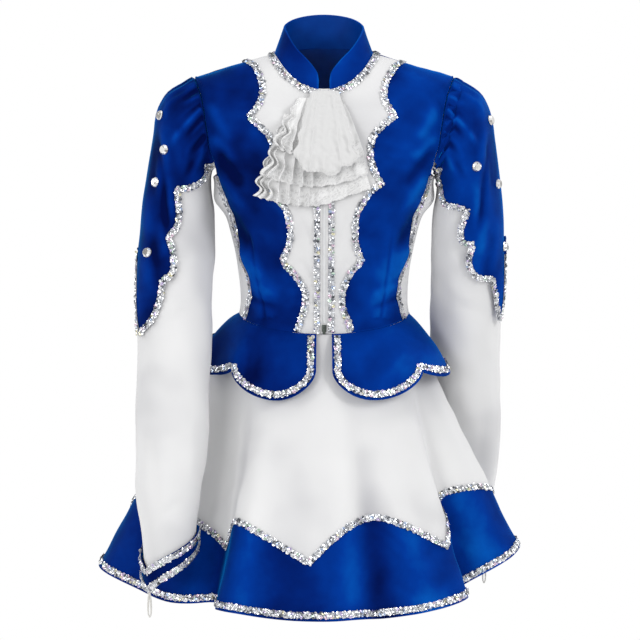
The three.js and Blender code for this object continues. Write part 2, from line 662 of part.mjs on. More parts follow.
function peplum(side) {
  const edge = peplumEdge(SIDES[side]);
  const rows = [0, 0.5, 1].map((part) => edge.map(({ turn, depth }) => peplumSample(turn, depth * part)));
  const inset = edge.map(({ turn, depth }, index) => {
    const before = edge[Math.max(index - 1, 0)];
    const after = edge[Math.min(index + 1, edge.length - 1)];
    const across = (after.turn - before.turn) * radians(1) * 135 * SIDES[side];
    const slope = (after.depth - before.depth) / Math.max(across, 1);
    const shift = PEPLUM_TRIM_INSET / Math.hypot(1, slope);
    const sideways = clamp(shift * slope / radians(135), -2.2, 2.2);
    return { turn: turn + SIDES[side] * sideways, depth: depth - shift };
  });
  const frontTurn = inset[0].turn + SIDES[side] * 2.6;
  inset[0] = { turn: frontTurn, depth: edge[0].depth - 6 };
  const path = [
    { turn: frontTurn, depth: 3 },
    { turn: frontTurn, depth: 18 },
    ...inset.slice(0, 1),
    ...inset.slice(2, -1),
  ].map(({ turn, depth }) => peplumSample(turn, depth));
  return [
    wall(`peplum_${side}`, rows, VELVET, blueVelvet),
    strip(`peplum_trim_${side}`, path, TRIM_WIDTH - 1, TRIM_RISE, sequins, 1.25),
  ];
}
dress.add(...peplum('right'), ...peplum('left'));

// ---------------------------------------------------------------- skirt

// Point of the skirt at an angle and a place from the waist (0) to the hem (1).
function skirtPoint(turn, place) {
  const start = waistPoint(turn);
  const inward = new THREE.Vector3(start.x, start.y, 0).normalize();
  start.addScaledVector(inward, -2.5 + 0.3 * place);
  const reach = roundColumn(HEM, 'reach', turn);
  const end = new THREE.Vector3(
    reach * Math.sin(radians(turn)),
    -reach * Math.cos(radians(turn)),
    roundColumn(HEM, 'height', turn),
  );
  return start.lerp(end, place);
}
const skirtSample = (turn, place) => ({
  point: skirtPoint(turn, place),
  normal: normalOf(skirtPoint, turn, place, -1),
});

function bandTop(turn) {
  const around = ((turn % 360) + 360) % 360;
  const count = BAND_SCALLOPS.length;
  for (let index = 0; index < count; index += 1) {
    const { tip, peak } = BAND_SCALLOPS[index];
    const next = index + 1 < count ? BAND_SCALLOPS[index + 1].tip : BAND_SCALLOPS[0].tip + 360;
    for (const angle of [around, around - 360]) {
      if (angle < tip || angle > next) continue;
      if (angle <= peak) {
        return lerp(BAND_TIP, BAND_PEAK, Math.sin(Math.PI / 2 * (angle - tip) / (peak - tip)) ** 0.9);
      }
      return lerp(BAND_PEAK, BAND_TIP, ((angle - peak) / (next - peak)) ** 1.35);
    }
  }
  return BAND_TIP;
}

// Angles of the skirt's columns: every scallop's tip and peak, and even steps between.
function skirtTurns(from, to) {
  const turns = new Set([from, to]);
  const marks = [from, to];
  for (const { tip, peak } of BAND_SCALLOPS) {
    for (const angle of [tip, tip - 360, peak, peak - 360]) {
      if (angle > from + 1 && angle < to - 1) marks.push(angle);
    }
  }
  marks.sort((a, b) => a - b);
  for (let index = 0; index < marks.length - 1; index += 1) {
    const count = Math.max(Math.round((marks[index + 1] - marks[index]) / 5), 1);
    for (const part of steps(count)) turns.add(lerp(marks[index], marks[index + 1], part));
  }
  return [...turns].sort((a, b) => a - b);
}

for (const [name, from, to] of [['front', -90, 90], ['back', 90, 270]]) {
  const turns = skirtTurns(from, to);
  turns[0] += 0.1;
  turns[turns.length - 1] -= 0.1;
  const gap = 0.001;
  const coarse = turns.filter((turn, index) => index % 2 === 0 || index === turns.length - 1);
  const whiteRows = [
    coarse.map((turn) => skirtSample(turn, 0.004)),
    coarse.map((turn) => skirtSample(turn, 0.22)),
    turns.map((turn) => skirtSample(turn, 0.55 * bandTop(turn) + 0.12)),
    turns.map((turn) => skirtSample(turn, bandTop(turn) - gap)),
  ];
  const bandRows = [
    turns.map((turn) => skirtSample(turn, bandTop(turn) + gap)),
    turns.map((turn) => skirtSample(turn, 1)),
  ];
  const trimTurns = [from + END_SHY, ...turns.slice(1, -1), to - END_SHY];
  const along = (place) => trimTurns.map((turn) => skirtSample(turn, place(turn)));
  dress.add(
    wall(`skirt_${name}`, whiteRows, CLOTH, whiteCloth),
    wall(`hem_band_${name}`, bandRows, VELVET, blueVelvet),
    strip(`band_trim_${name}`, along(bandTop), TRIM_WIDTH - 1, TRIM_RISE, sequins, 1.3),
    strip(`hem_trim_${name}`, along(() => HEM_TRIM_PLACE), TRIM_WIDTH - 1, TRIM_RISE, sequins, 1.3),
  );
}

// ---------------------------------------------------------------- sleeves

// Point of a sleeve at an angle (0 outside, 90 front, 180 inside, 270 back) and a ring.
function sleeveSurface(side) {
  const sign = SIDES[side];
  const hang = HANG[side];
  const armhole = (angle) => {
    const wrapped = ((angle + 180) % 360 + 360) % 360 - 180;
    const isBack = wrapped < 0;
    const away = Math.abs(wrapped);
    const height = -95 + 63 * Math.cos(radians(Math.min(away, 150)));
    const place = onFront(sign * outerAcross(height), height);
    const under = clamp((away - 150) / 30, 0, 1);
    const turn = lerp(place.turn, sign * 90, under);
    const ring = place.ring - ARMPIT_SCOOP * Math.sin(under * Math.PI / 2);
    const shown = isBack ? toBack({ turn, ring }, sign) : { turn, ring };
    const sample = bodySample(shown.turn, shown.ring);
    const sink = HEAD_SINK * (1 - under);
    sample.normal.setX(0).normalize();
    return sample.point.addScaledVector(sample.normal, -sink)
      .add(new THREE.Vector3(sign * ARMHOLE_GAP, 0, 1.6 * under));
  };
  const armholeTable = steps(72).map((part) => armhole(part * 360));
  const armholeAt = (angle) => {
    const place = (((angle % 360) + 360) % 360) / 5;
    const index = Math.floor(place);
    return armholeTable[index].clone().lerp(armholeTable[index + 1], place - index);
  };
  const plain = (angle, ring) => {
    const size = (name) => column(SLEEVE, 'ring', name, ring);
    const out = hang.out * smooth(2, 7, ring);
    const swung = smooth(3.4, 12, ring);
    const cosine = Math.cos(radians(angle));
    const across = lerp(size('inX'), size('outX'), (1 + cosine) / 2) + out;
    return new THREE.Vector3(
      sign * across,
      hang.swing * swung - size('depth') * Math.sin(radians(angle)),
      lerp(size('inZ'), size('outZ'), (1 + cosine) / 2) + hang.lift * swung,
    );
  };
  return (angle, ring) => {
    const point = plain(angle, ring);
    const fade = Math.max(1 - ring / 1.6, 0) ** 2;
    return fade > 0 ? point.addScaledVector(armholeAt(angle).sub(plain(angle, 0)), fade) : point;
  };
}

const sleeveSurfaces = { right: sleeveSurface('right'), left: sleeveSurface('left') };

function onSleeve(side, angle, ring, lift = 0) {
  const surface = sleeveSurfaces[side];
  const normal = normalOf(surface, angle, ring, SIDES[side]);
  return { point: surface(angle, ring).addScaledVector(normal, lift), normal };
}

// Finds the angle and ring of a sleeve's point in the front view.
function findOnSleeve(side, across, height) {
  const surface = sleeveSurfaces[side];
  let best = null;
  for (let ring = 0.5; ring < LAST_RING; ring += 0.5) {
    for (let angle = 5; angle < 180; angle += 10) {
      const point = surface(angle, ring);
      const miss = Math.hypot(point.x - SIDES[side] * across, point.z - height);
      if (!best || miss < best.miss) best = { miss, u: angle, v: ring };
    }
  }
  const found = locate(surface, SIDES[side] * across, height, best);
  return { angle: clamp(found.u, 2, 178), ring: clamp(found.v, 0.02, LAST_RING) };
}

// Ring of a cuff's edge, which drops to a point.
function cuffEdge(angle, level, point) {
  const away = Math.abs(((angle - CUFF.pointAt + 540) % 360) - 180) / 150;
  return lerp(point, level, Math.min(away, 1) ** 0.8);
}

const AROUND = steps(16).slice(0, -1).map((part) => part * 360);

function sleeve(side) {
  const rings = [0, 0.5, 1, 1.6, 2.3, 3, 4, 5, 6, 7, 8.3, 9.6, 10.7, 11.5];
  const rows = rings.map((ring) => AROUND.map((angle) => onSleeve(side, angle, ring, -1.6 * Math.min(ring, 1))));
  for (const [level, point] of [[CUFF.upper, CUFF.upperPoint], [CUFF.lower, CUFF.lowerPoint]]) {
    rows.push(AROUND.map((angle) => onSleeve(side, angle, cuffEdge(angle, level, point))));
  }
  return wall(`sleeve_${side}`, rows, CLOTH, whiteCloth, true);
}

// The same places with others between them, so that no step is longer than these.
function refined(places, angleStep, ringStep) {
  return places.flatMap((place, index) => {
    if (index === 0) return [];
    const before = places[index - 1];
    const angles = Math.abs(place.angle - before.angle) / angleStep;
    const rings = Math.abs(place.ring - before.ring) / ringStep;
    return steps(Math.max(Math.ceil(Math.max(angles, rings)), 1)).slice(1).map((part) => ({
      angle: lerp(before.angle, place.angle, part),
      ring: lerp(before.ring, place.ring, part),
    }));
  });
}

const OVER = { lift: 1.5 + VELVET, bottomNotch: 0.17, top: 0.14, headSpan: 136 };

function gather(angle, ring) {
  const fold = (1 + Math.cos(radians(angle * HEAD_GATHERS))) / 2;
  const long = 1 + 0.35 * Math.sin(radians(angle * 5));
  const swell = smooth(0, 0.5, ring) * (1 - smooth(0.8, 2.6 * long, ring));
  const underArm = smooth(92, 118, Math.abs(((angle + 540) % 360) - 180));
  return GATHER_RISE * fold * swell * (1 - underArm);
}

function oversleeve(side) {
  const edge = OVERSLEEVE_EDGE[side].map(({ across, height }) => findOnSleeve(side, across, height));
  const first = edge[0];
  const sample = (angle, ring) => onSleeve(side, angle, ring, OVER.lift + gather(angle, ring));
  const head = [OVER.top, lerp(OVER.top, first.ring, 0.5)];
  const rows = head.map((ring, index) => {
    const span = lerp(OVER.headSpan, first.angle, index / 2);
    return steps(36).map((part) => sample(lerp(span, -span, part), ring));
  });
  const levels = [first, ...refined(edge, 70, 0.62)];
  levels.forEach(({ angle, ring }, index) => {
    const columns = ring < 1.6 ? 36 : 14;
    const ramp = (index / levels.length) ** 2;
    rows.push(steps(columns).map((part) => {
      const middle = Math.sin(Math.PI * part) ** 2;
      const shown = lerp(OVER.top, ring, 1 - OVER.bottomNotch * middle * ramp);
      return sample(lerp(angle, -angle, part), shown);
    }));
  });
  const edgeSample = (angle, ring) => onSleeve(side, angle, ring, OVER.lift);
  const path = [first, ...refined(edge, 12, 0.7)];
  const frontPath = path.map(({ angle, ring }) => edgeSample(angle, ring));
  frontPath.slice(0, 4).forEach((place, index) => { place.lift = 2.8 - 0.6 * index; });
  const bottom = rows.at(-1).slice(1, -1).filter((unused, index) => index % 2 === 1);
  const backPath = [...path].reverse().map(({ angle, ring }) => edgeSample(-angle, ring));
  backPath.slice(-4).forEach((place, index) => { place.lift = 0.6 + 0.6 * index; });
  return [
    wall(`oversleeve_${side}`, rows, VELVET, blueVelvet),
    strip(`oversleeve_trim_${side}`, [...frontPath, ...bottom, ...backPath], TRIM_WIDTH, TRIM_RISE, sequins, 1.0),
  ];
}

function cuff(side) {
  const edgeRow = (level, point, lift, shift = 0) => AROUND.map(
    (angle) => onSleeve(side, angle, cuffEdge(angle, level, point) + shift, lift),
  );
  const upper = edgeRow(CUFF.upper, CUFF.upperPoint, OVER.lift);
  const lower = edgeRow(CUFF.lower, CUFF.lowerPoint, OVER.lift);
  const band = (row) => [...row, row[0]].map((sample, index, all) => {
    if (index > 0 && index < all.length - 1) return sample;
    const next = index === 0 ? all[1] : all.at(-2);
    const way = next.point.clone().sub(sample.point).normalize();
    return { point: sample.point.clone().addScaledVector(way, 0.4), normal: sample.normal };
  });
  const trimRow = (level, point, shift) => band(edgeRow(level, point, OVER.lift, shift));
  return [
    wall(`cuff_${side}`, [upper, lower], VELVET, blueVelvet, true),
    strip(`cuff_upper_trim_${side}`, trimRow(CUFF.upper, CUFF.upperPoint, 0.07), TRIM_WIDTH - 2, TRIM_RISE, sequins),
    strip(`cuff_lower_trim_${side}`, trimRow(CUFF.lower, CUFF.lowerPoint, -0.07), TRIM_WIDTH - 2, TRIM_RISE, sequins),
  ];
}

function fingerLoop(side) {
  const top = onSleeve(side, CUFF.pointAt, CUFF.lowerPoint, OVER.lift / 2).point;
  const points = [];
  const faces = [];
  const count = 16;
  for (let index = 0; index < count; index += 1) {
    const turn = index / count * Math.PI * 2;
    const down = (1 - Math.cos(turn)) / 2;
    const across = Math.sin(turn) * LOOP.halfWidth * (0.45 + 0.55 * down);
    const middle = top.clone().add(new THREE.Vector3(across, 0, 0.2 - down * LOOP.length));
    const outward = new THREE.Vector3(Math.sin(turn), 0, Math.cos(turn));
    for (const [out, deep] of [[0, -1], [0, 1], [1, 1], [1, -1]]) {
      points.push(middle.clone().addScaledVector(outward, -out * LOOP.wall)
        .add(new THREE.Vector3(0, deep * LOOP.band / 2, 0)));
    }
  }
  for (let index = 0; index < count; index += 1) {
    const [a, b] = [4 * index, 4 * ((index + 1) % count)];
    for (const k of [0, 1, 2, 3]) {
      const next = (k + 1) % 4;
      faces.push([a + k, b + k, b + next], [a + k, b + next, a + next]);
    }
  }
  return meshFrom(`finger_loop_${side}`, points, faces, elastic);
}

// A cut stone: a low dome with a flat back.
function stone(name, sample) {
  const { radius, rise, facets } = STONE;
  const profile = [[0, 0], [radius, 0], [radius, rise * 0.3], [radius * 0.62, rise * 0.85], [0, rise]];
  const geometry = new THREE.LatheGeometry(profile.map(([x, y]) => new THREE.Vector2(x, y)), facets);
  const turn = new THREE.Quaternion().setFromUnitVectors(new THREE.Vector3(0, 1, 0), sample.normal);
  const mesh = new THREE.Mesh(geometry, crystal);
  mesh.name = name;
  mesh.quaternion.copy(turn);
  mesh.position.copy(sample.point);
  return mesh;
}

for (const side of ['right', 'left']) {
  dress.add(sleeve(side), ...oversleeve(side), ...cuff(side), fingerLoop(side));
  STONES[side].forEach(({ across, height }, index) => {
    const { angle, ring } = findOnSleeve(side, across, height);
    dress.add(stone(`stone_${side}_${index + 1}`, onSleeve(side, angle, ring, OVER.lift + gather(angle, ring) + 0.6)));
  });
}

// ---------------------------------------------------------------- jabot

JABOT.forEach((tier, order) => {
  const point = (across, down) => {
    const halfWidth = lerp(tier.topHalf, tier.bottomHalf, Math.max(down, 0) ** 0.8);
    const x = tier.centre + halfWidth * across;
    const scallop = 5 * Math.abs(Math.sin(Math.PI * tier.waves * (across + 1) / 2)) * down;
    const droop = (tier.bottom - tier.top) * down * (1 - 0.16 * across * across) - scallop;
    const wave = Math.sin(Math.PI * tier.waves * (across + 1) + order);
    const out = tier.lead + tier.grow * down + (0.4 + 2.7 * down) * wave;
    const under = onFront(x, tier.top + droop);
    const sample = bodySample(under.turn, under.ring);
    return sample.point.addScaledVector(sample.normal, out);
  };
  const surface = (u, v) => point(u / 10, v);
  const rows = [0, 0.5, 1].map((down) => steps(4 * tier.waves).map((part) => {
    const across = lerp(-1, 1, part);
    const normal = normalOf(surface, across * 10, down, -1);
    return { point: point(across, down), normal };
  }));
  dress.add(wall(`jabot_${tier.name}`, rows, LACE, whiteLace));
});

export default dress;
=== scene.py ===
import bpy
import math
import numpy as np
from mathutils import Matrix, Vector
from mathutils.bvhtree import BVHTree


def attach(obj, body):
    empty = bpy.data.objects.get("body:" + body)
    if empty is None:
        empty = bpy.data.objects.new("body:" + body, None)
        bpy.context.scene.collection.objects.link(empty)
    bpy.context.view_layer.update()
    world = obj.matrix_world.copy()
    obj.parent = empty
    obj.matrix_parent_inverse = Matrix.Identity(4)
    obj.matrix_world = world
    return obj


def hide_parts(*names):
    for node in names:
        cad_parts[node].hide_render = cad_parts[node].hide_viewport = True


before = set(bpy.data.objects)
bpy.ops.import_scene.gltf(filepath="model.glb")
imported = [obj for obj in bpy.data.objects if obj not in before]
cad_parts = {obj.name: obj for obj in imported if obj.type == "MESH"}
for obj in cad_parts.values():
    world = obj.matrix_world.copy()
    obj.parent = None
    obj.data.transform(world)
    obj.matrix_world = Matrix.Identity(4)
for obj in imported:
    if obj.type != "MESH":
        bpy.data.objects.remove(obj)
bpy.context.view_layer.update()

# ------------------------------------------------------------------------ studio
# The dress hangs level in front of a long lens. A pale floor lies where a wearer would stand,
# and large soft lamps stand round it, the strongest on the wearer's left.
LOOK_AT = Vector((-0.0054, 0, -0.358))
CAMERA_DISTANCE = 2.8
CAMERA_RISE = math.radians(8)
camera = bpy.data.objects.new("camera", bpy.data.cameras.new("camera"))
bpy.context.collection.objects.link(camera)
camera.data.lens = 116.66
camera.location = LOOK_AT + CAMERA_DISTANCE * Vector((0, -math.cos(CAMERA_RISE), math.sin(CAMERA_RISE)))
camera.rotation_euler = (LOOK_AT - camera.location).to_track_quat("-Z", "Y").to_euler()
bpy.context.scene.camera = camera
bpy.context.scene.view_settings.view_transform = "Standard"


# A material with values on its surface; underscores in their names stand for spaces.
def surface_material(name, **values):
    material = bpy.data.materials.new(name)
    material.use_nodes = True
    for key, value in values.items():
        material.node_tree.nodes["Principled BSDF"].inputs[key.replace("_", " ")].default_value = value
    return material


bpy.ops.object.select_all(action="DESELECT")
bpy.ops.mesh.primitive_plane_add(size=3.4, location=(0, -0.5, -1.35))
floor = bpy.context.object
floor.name = "floor"
floor.data.materials.append(surface_material("pale_floor", Base_Color=(0.93, 0.93, 0.93, 1), Roughness=0.9))

# name, place, watts, width and height of each lamp
for name, place, watts, size in (
    ("key_lamp", (2.4, -2.0, 1.2), 43, (0.8, 1.5)),
    ("fill_lamp", (-2.7, -1.6, 0.9), 16, (0.8, 1.5)),
    ("front_lamp", (-1.7, -3.1, 0.3), 36, (1.4, 1.2)),
    ("top_lamp", (0.2, -0.2, 2.2), 15, (1.2, 1.2)),
    ("left_edge_lamp", (-2.2, 1.2, 0.3), 14, (0.6, 1.6)),
    ("right_edge_lamp", (2.2, 1.2, 0.3), 20, (0.6, 1.6)),
):
    lamp = bpy.data.objects.new(name, bpy.data.lights.new(name, "AREA"))
    bpy.context.collection.objects.link(lamp)
    lamp.data.energy, lamp.data.shape = watts, "RECTANGLE"
    lamp.data.size, lamp.data.size_y = size
    lamp.location = place
    lamp.rotation_euler = (LOOK_AT - lamp.location).to_track_quat("-Z", "Y").to_euler()

# The room is white to the eye and gives a softer, even light to the cloth.
world = bpy.data.worlds.new("white_room")
bpy.context.scene.world = world
world.use_nodes = True
room = world.node_tree
seen, lit = room.nodes["Background"], room.nodes.new("ShaderNodeBackground")
for light, strength in ((seen, 1.0), (lit, 0.58)):
    light.inputs["Color"].default_value = (1, 1, 1, 1)
    light.inputs["Strength"].default_value = strength
eye, blend = room.nodes.new("ShaderNodeLightPath"), room.nodes.new("ShaderNodeMixShader")
room.links.new(eye.outputs["Is Camera Ray"], blend.inputs["Fac"])
room.links.new(lit.outputs["Background"], blend.inputs[1])
room.links.new(seen.outputs["Background"], blend.inputs[2])
room.links.new(blend.outputs["Shader"], room.nodes["World Output"].inputs["Surface"])

# ------------------------------------------------------------------------ bodice
# Fitted bodice of white knit and blue velvet, cut in a white front piece each side of the zip,
# a velvet front with a dart, a white side under each arm and one velvet back. The surface is
# a stack of rings from the waist (0) to the shoulder ends (8) and the neck (9).
BODICE = {
    "ring": [0, 1, 2, 3, 4, 5, 6, 7, 8, 9],
    "half_width": [114, 112, 115, 122, 133, 147, 167, 172, 170, 64],
    "front": [88, 88, 92, 99, 106, 106, 96, 83, 68, 58],
    "back": [84, 82, 84, 89, 94, 98, 98, 88, 66, 45],
    "side": [-349, -330, -290, -250, -208, -165, -115, -70, -32, 0],
    "front_height": [-364, -340, -297, -255, -212, -168, -128, -98, -74, -46],
    "back_height": [-353, -333, -292, -251, -208, -164, -112, -62, -24, 6],
}
FULLER_CORNERS = 0.12
VELVET_WALL = 1.6
KNIT_WALL = 1.4
# Jagged edge of the white front piece in the front view, down to the waist; 1 marks a point.
PLASTRON = {
    "height": [-17, -32, -50, -65, -82, -91, -104, -117, -132, -146, -157, -167, -175, -189, -202, -221, -245,
               -269, -279, -294, -311, -330, -348],
    "right": [91, 83, 80, 84, 97, 87, 73, 66, 66, 67, 71, 78, 67, 57, 48, 44, 45, 55, 44, 32, 24, 25, 31],
    "left": [94, 83, 78, 80, 92, 78, 65, 60, 60, 63, 67, 74, 61, 51, 43, 40, 41, 48, 37, 29, 23, 25, 31],
    "point": [0, 0, 0, 0, 1, 0, 0, 0, 0, 0, 0, 1, 0, 0, 0, 0, 0, 1, 0, 0, 0, 0, 0],
}
PLASTRON_SEAM_RING = 8.613
PLASTRON_WAIST = 36
# Outer edge of the velvet front: the armhole down to the armpit, then the side edge.
OUTER_EDGE = {
    "height": [-32, -42, -54, -70, -89, -106, -125, -140, -157, -178, -200, -222, -247, -270, -292, -316, -347],
    "across": [170.5, 166, 161, 157, 154, 151, 148, 144, 140, 134, 125, 120, 114, 109, 100, 98, 105],
}
ARMPIT = -158
ARMPIT_SCOOP = 0.1
ZIP_TAPE = 5.2
SIDES = (("right", -1), ("left", 1))


def mix(start, end, part):
    return start + (end - start) * part


def ease(start, end, at):
    part = np.clip((np.asarray(at, float) - start) / (end - start), 0, 1)
    return part * part * (3 - 2 * part)


def unit(vectors):
    return vectors / np.maximum(np.linalg.norm(vectors, axis=-1, keepdims=True), 1e-9)


def paired(first, second):
    return np.broadcast_arrays(np.asarray(first, float), np.asarray(second, float))


# Length along a path at each of its points.
def run_length(points):
    return np.concatenate([[0], np.cumsum(np.linalg.norm(np.diff(points, axis=0), axis=1))])


# Smooth value of a table's column at a place along its key column; breaks are sharp rows.
def read(table, key, name, at, breaks=None):
    keys, values = np.array(table[key], float), np.array(table[name], float)
    points = np.zeros(len(keys)) if breaks is None else np.array(table[breaks], float)
    if keys[1] < keys[0]:
        keys, values, points = keys[::-1], values[::-1], points[::-1]
    rise = np.diff(values) / np.diff(keys)
    middle = (values[2:] - values[:-2]) / (keys[2:] - keys[:-2])
    before = np.concatenate([rise[:1], middle, rise[-1:]])
    after = before.copy()
    for row in np.flatnonzero(points):
        before[row], after[row] = rise[row - 1], rise[row]
    at = np.asarray(at, float)
    row = np.clip(np.searchsorted(keys, at, side="right") - 1, 0, len(keys) - 2)
    span = keys[row + 1] - keys[row]
    t = np.clip((at - keys[row]) / span, 0, 1)
    return ((2 * t**3 - 3 * t**2 + 1) * values[row] + (t**3 - 2 * t**2 + t) * span * after[row]
            + (3 * t**2 - 2 * t**3) * values[row + 1] + (t**3 - t**2) * span * before[row + 1])


# Point of the bodice at an angle (0 front, 90 wearer's left, 180 back) and a ring.
def bodice(turn, ring):
    turn, ring = paired(turn, ring)
    rings = {name: values[:9] for name, values in BODICE.items()}

    def size(name):
        low = read(rings, "ring", name, np.minimum(ring, 8))
        return np.where(ring <= 8, low, mix(BODICE[name][8], BODICE[name][9], ring - 8))

    sine, cosine = np.sin(np.radians(turn)), np.cos(np.radians(turn))
    is_front = cosine >= 0
    depth = np.where(is_front, size("front"), size("back"))
    centre = np.where(is_front, size("front_height"), size("back_height"))
    side = size("side")
    return np.stack([
        size("half_width") * sine * (1 + FULLER_CORNERS * cosine**2),
        -depth * cosine * (1 + FULLER_CORNERS * sine**2),
        side + (centre - side) * cosine**2,
    ], -1)


def normals_of(surface, u, v, facing=1):
    along_u = surface(u + 0.2, v) - surface(u - 0.2, v)
    along_v = surface(u, v + 0.005) - surface(u, v - 0.005)
    return unit(np.cross(along_u, along_v) * facing)


# Finds where a surface passes points of the front view, by damped Newton steps.
def locate(surface, across, height, u, v):
    across, height = np.asarray(across, float), np.asarray(height, float)
    u, v = np.array(u, float), np.array(v, float)
    for _ in range(40):
        def miss(du, dv):
            point = surface(u + du, v + dv)
            return point[..., 0] - across, point[..., 2] - height

        here_x, here_z = miss(0, 0)
        ux, uz = ((value - here) / 0.2 for value, here in zip(miss(0.2, 0), (here_x, here_z)))
        vx, vz = ((value - here) / 0.01 for value, here in zip(miss(0, 0.01), (here_x, here_z)))
        uu, vv, uv = ux**2 + uz**2 + 0.02, vx**2 + vz**2 + 0.02, ux * vx + uz * vz
        gu, gv = ux * here_x + uz * here_z, vx * here_x + vz * here_z
        base = uu * vv - uv * uv
        u -= np.clip((vv * gu - uv * gv) / base, -8, 8)
        v -= np.clip((uu * gv - uv * gu) / base, -0.5, 0.5)
    return u, v


def on_front(across, height):
    across, height = paired(across, height)
    turn, ring = locate(bodice, across, height, np.sign(across) * 50, np.clip(8.6 + height / 42, 0, 8.5))
    return np.clip(turn, -90, 90), np.clip(ring, 0, 9)


# Rows of one half of the bodice from the shoulder seam to the waist, as angle and ring of the
# white piece's edge and of the outer edge.
def half_rows(side, sign, count=116):
    heights = np.linspace(PLASTRON["height"][0], PLASTRON["height"][-1], count)
    inner_turn, inner_ring = on_front(sign * read(PLASTRON, "height", side, heights, "point"), heights)
    outer_heights = np.linspace(-35.5, -334, count)
    outer_turn, outer_ring = on_front(sign * read(OUTER_EDGE, "height", "across", outer_heights), outer_heights)
    start, end = np.linspace(0, 1, 8)[:-1], np.linspace(0, 1, 7)[1:]

    def run(top, middle, bottom):
        return np.concatenate([mix(top, middle[0], start), middle, mix(middle[-1], bottom, end)])

    return {
        "inner_turn": run(sign * 90, inner_turn, on_front(sign * PLASTRON_WAIST, -360)[0]),
        "inner_ring": run(PLASTRON_SEAM_RING, inner_ring, 0),
        "outer_turn": run(sign * 90, outer_turn, on_front(sign * 106, -348)[0]),
        "outer_ring": run(8, outer_ring, 0),
        "outer_height": np.concatenate([np.full(len(start), -32), outer_heights, np.full(len(end), -349)]),
    }


halves = {side: half_rows(side, sign) for side, sign in SIDES}


# Rows of points moved outward, away from the heart of the shape, by a rise for each.
def lifted(rows, rise, heart, tube=False):
    around = np.roll(rows, -1, 1) - np.roll(rows, 1, 1) if tube else np.gradient(rows, axis=1)
    normal = unit(np.cross(np.gradient(rows, axis=0), around))
    outward = 1 if np.sum(normal * (rows - heart)) > 0 else -1
    return rows + outward * normal * rise[..., None]


# A soft ridge (+) or trough (-) between two places of the front view, on the front or the back.
def crease(rows, start, end, rise, width, fade=(0.3, 0.3), front=True):
    start, end = np.array(start, float), np.array(end, float)
    place, way = rows[..., [0, 2]], end - start
    part = np.clip(((place - start) @ way) / (way @ way), 0, 1)
    gap = np.linalg.norm(place - (start + part[..., None] * way), axis=-1)
    strength = ease(0, fade[0], part) * (1 - ease(1 - fade[1], 1, part))
    return rise * np.exp(-((gap / width) ** 2)) * strength * ((rows[..., 1] < 0) == front)


# All creases of a list, given for the wearer's left and mirrored by the sign.
def creases(rows, lines, sign=1, front=True):
    return sum(crease(rows, (sign * x1, z1), (sign * x2, z2), rise, width, *fade, front=front)
               for (x1, z1), (x2, z2), rise, width, *fade in lines)


# Slow swells that keep cloth from being perfectly even.
def uneven(rows, length, height, seed):
    chance = np.random.default_rng(seed)
    total = np.zeros(rows.shape[:-1])
    for _ in range(7):
        way = chance.normal(size=3)
        way *= 2 * math.pi / (length * chance.uniform(0.6, 1.7) * np.linalg.norm(way))
        total += np.sin(rows @ way + chance.uniform(0, 2 * math.pi))
    return height * total / math.sqrt(7)


def select_only(piece):
    bpy.ops.object.select_all(action="DESELECT")
    piece.select_set(True)
    bpy.context.view_layer.objects.active = piece


# The four corners of every face of a grid.
def quads(grid):
    return [grid[:-1, :-1], grid[1:, :-1], grid[1:, 1:], grid[:-1, 1:]]


def add_object(name, data):
    piece = bpy.data.objects.new(name, data)
    bpy.context.collection.objects.link(piece)
    select_only(piece)
    return piece


# A cloth wall from rows of points on its outer face, with its own UV map in metres. A tube closes
# round its rows; the heart is the place or the places that the outer face looks away from.
def cloth(name, rows, wall, material, node, heart=None, tube=False, lining=None, fold=None):
    rows = np.asarray(rows, float)
    heart = rows * (0, 0, 1) if heart is None else np.broadcast_to(heart, rows.shape)
    rows_count, width = rows.shape[:2]
    index = np.arange(rows_count * width).reshape(rows_count, width)
    wrapped = np.hstack([index, index[:, :1]]) if tube else index
    placed = rows[:, np.r_[0:width, 0]] if tube else rows
    u = np.cumsum(np.linalg.norm(np.diff(placed, axis=1, prepend=placed[:, :1]), axis=-1), axis=1)
    v = np.cumsum(np.linalg.norm(np.diff(placed, axis=0, prepend=placed[:1]), axis=-1), axis=0)
    u -= u[:, -1:] / 2
    faces = np.stack([corner.ravel() for corner in quads(wrapped)], -1)
    spots = np.stack([corner.reshape(-1, 2) for corner in quads(np.stack([u, v], -1) / 1000)], 1)
    a, b, d = (rows.reshape(-1, 3)[faces[:, k]] for k in (0, 1, 3))
    if np.sum(np.cross(b - a, d - a) * (a - heart.reshape(-1, 3)[faces[:, 0]])) < 0:
        faces, spots = faces[:, ::-1], spots[:, ::-1]
    mesh = bpy.data.meshes.new(name)
    mesh.from_pydata((rows.reshape(-1, 3) / 1000).tolist(), [], faces.tolist())
    mesh.uv_layers.new(name="cloth").data.foreach_set("uv", spots.reshape(-1))
    # The fold heights go to the attribute fold: velvet and knit turn them into a painted highlight on ridges and
    # painted shade in troughs, and lace reads them as the mask of its edging.
    depth = np.zeros(rows.shape[:2]) if fold is None else np.clip(fold / 3, -1, 1)
    mesh.attributes.new("fold", "FLOAT", "POINT").data.foreach_set("value", depth.ravel())
    mesh.materials.append(material)
    piece = add_object(name, mesh)
    thick = piece.modifiers.new("wall", "SOLIDIFY")
    if lining:
        mesh.materials.append(lining)
        thick.material_offset = 1
    thick.thickness = wall / 1000
    thick.offset = -1
    bpy.ops.object.modifier_apply(modifier="wall")
    bpy.ops.object.shade_smooth_by_angle(angle=math.radians(50))
    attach(piece, "root")
    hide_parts(node)
    return piece


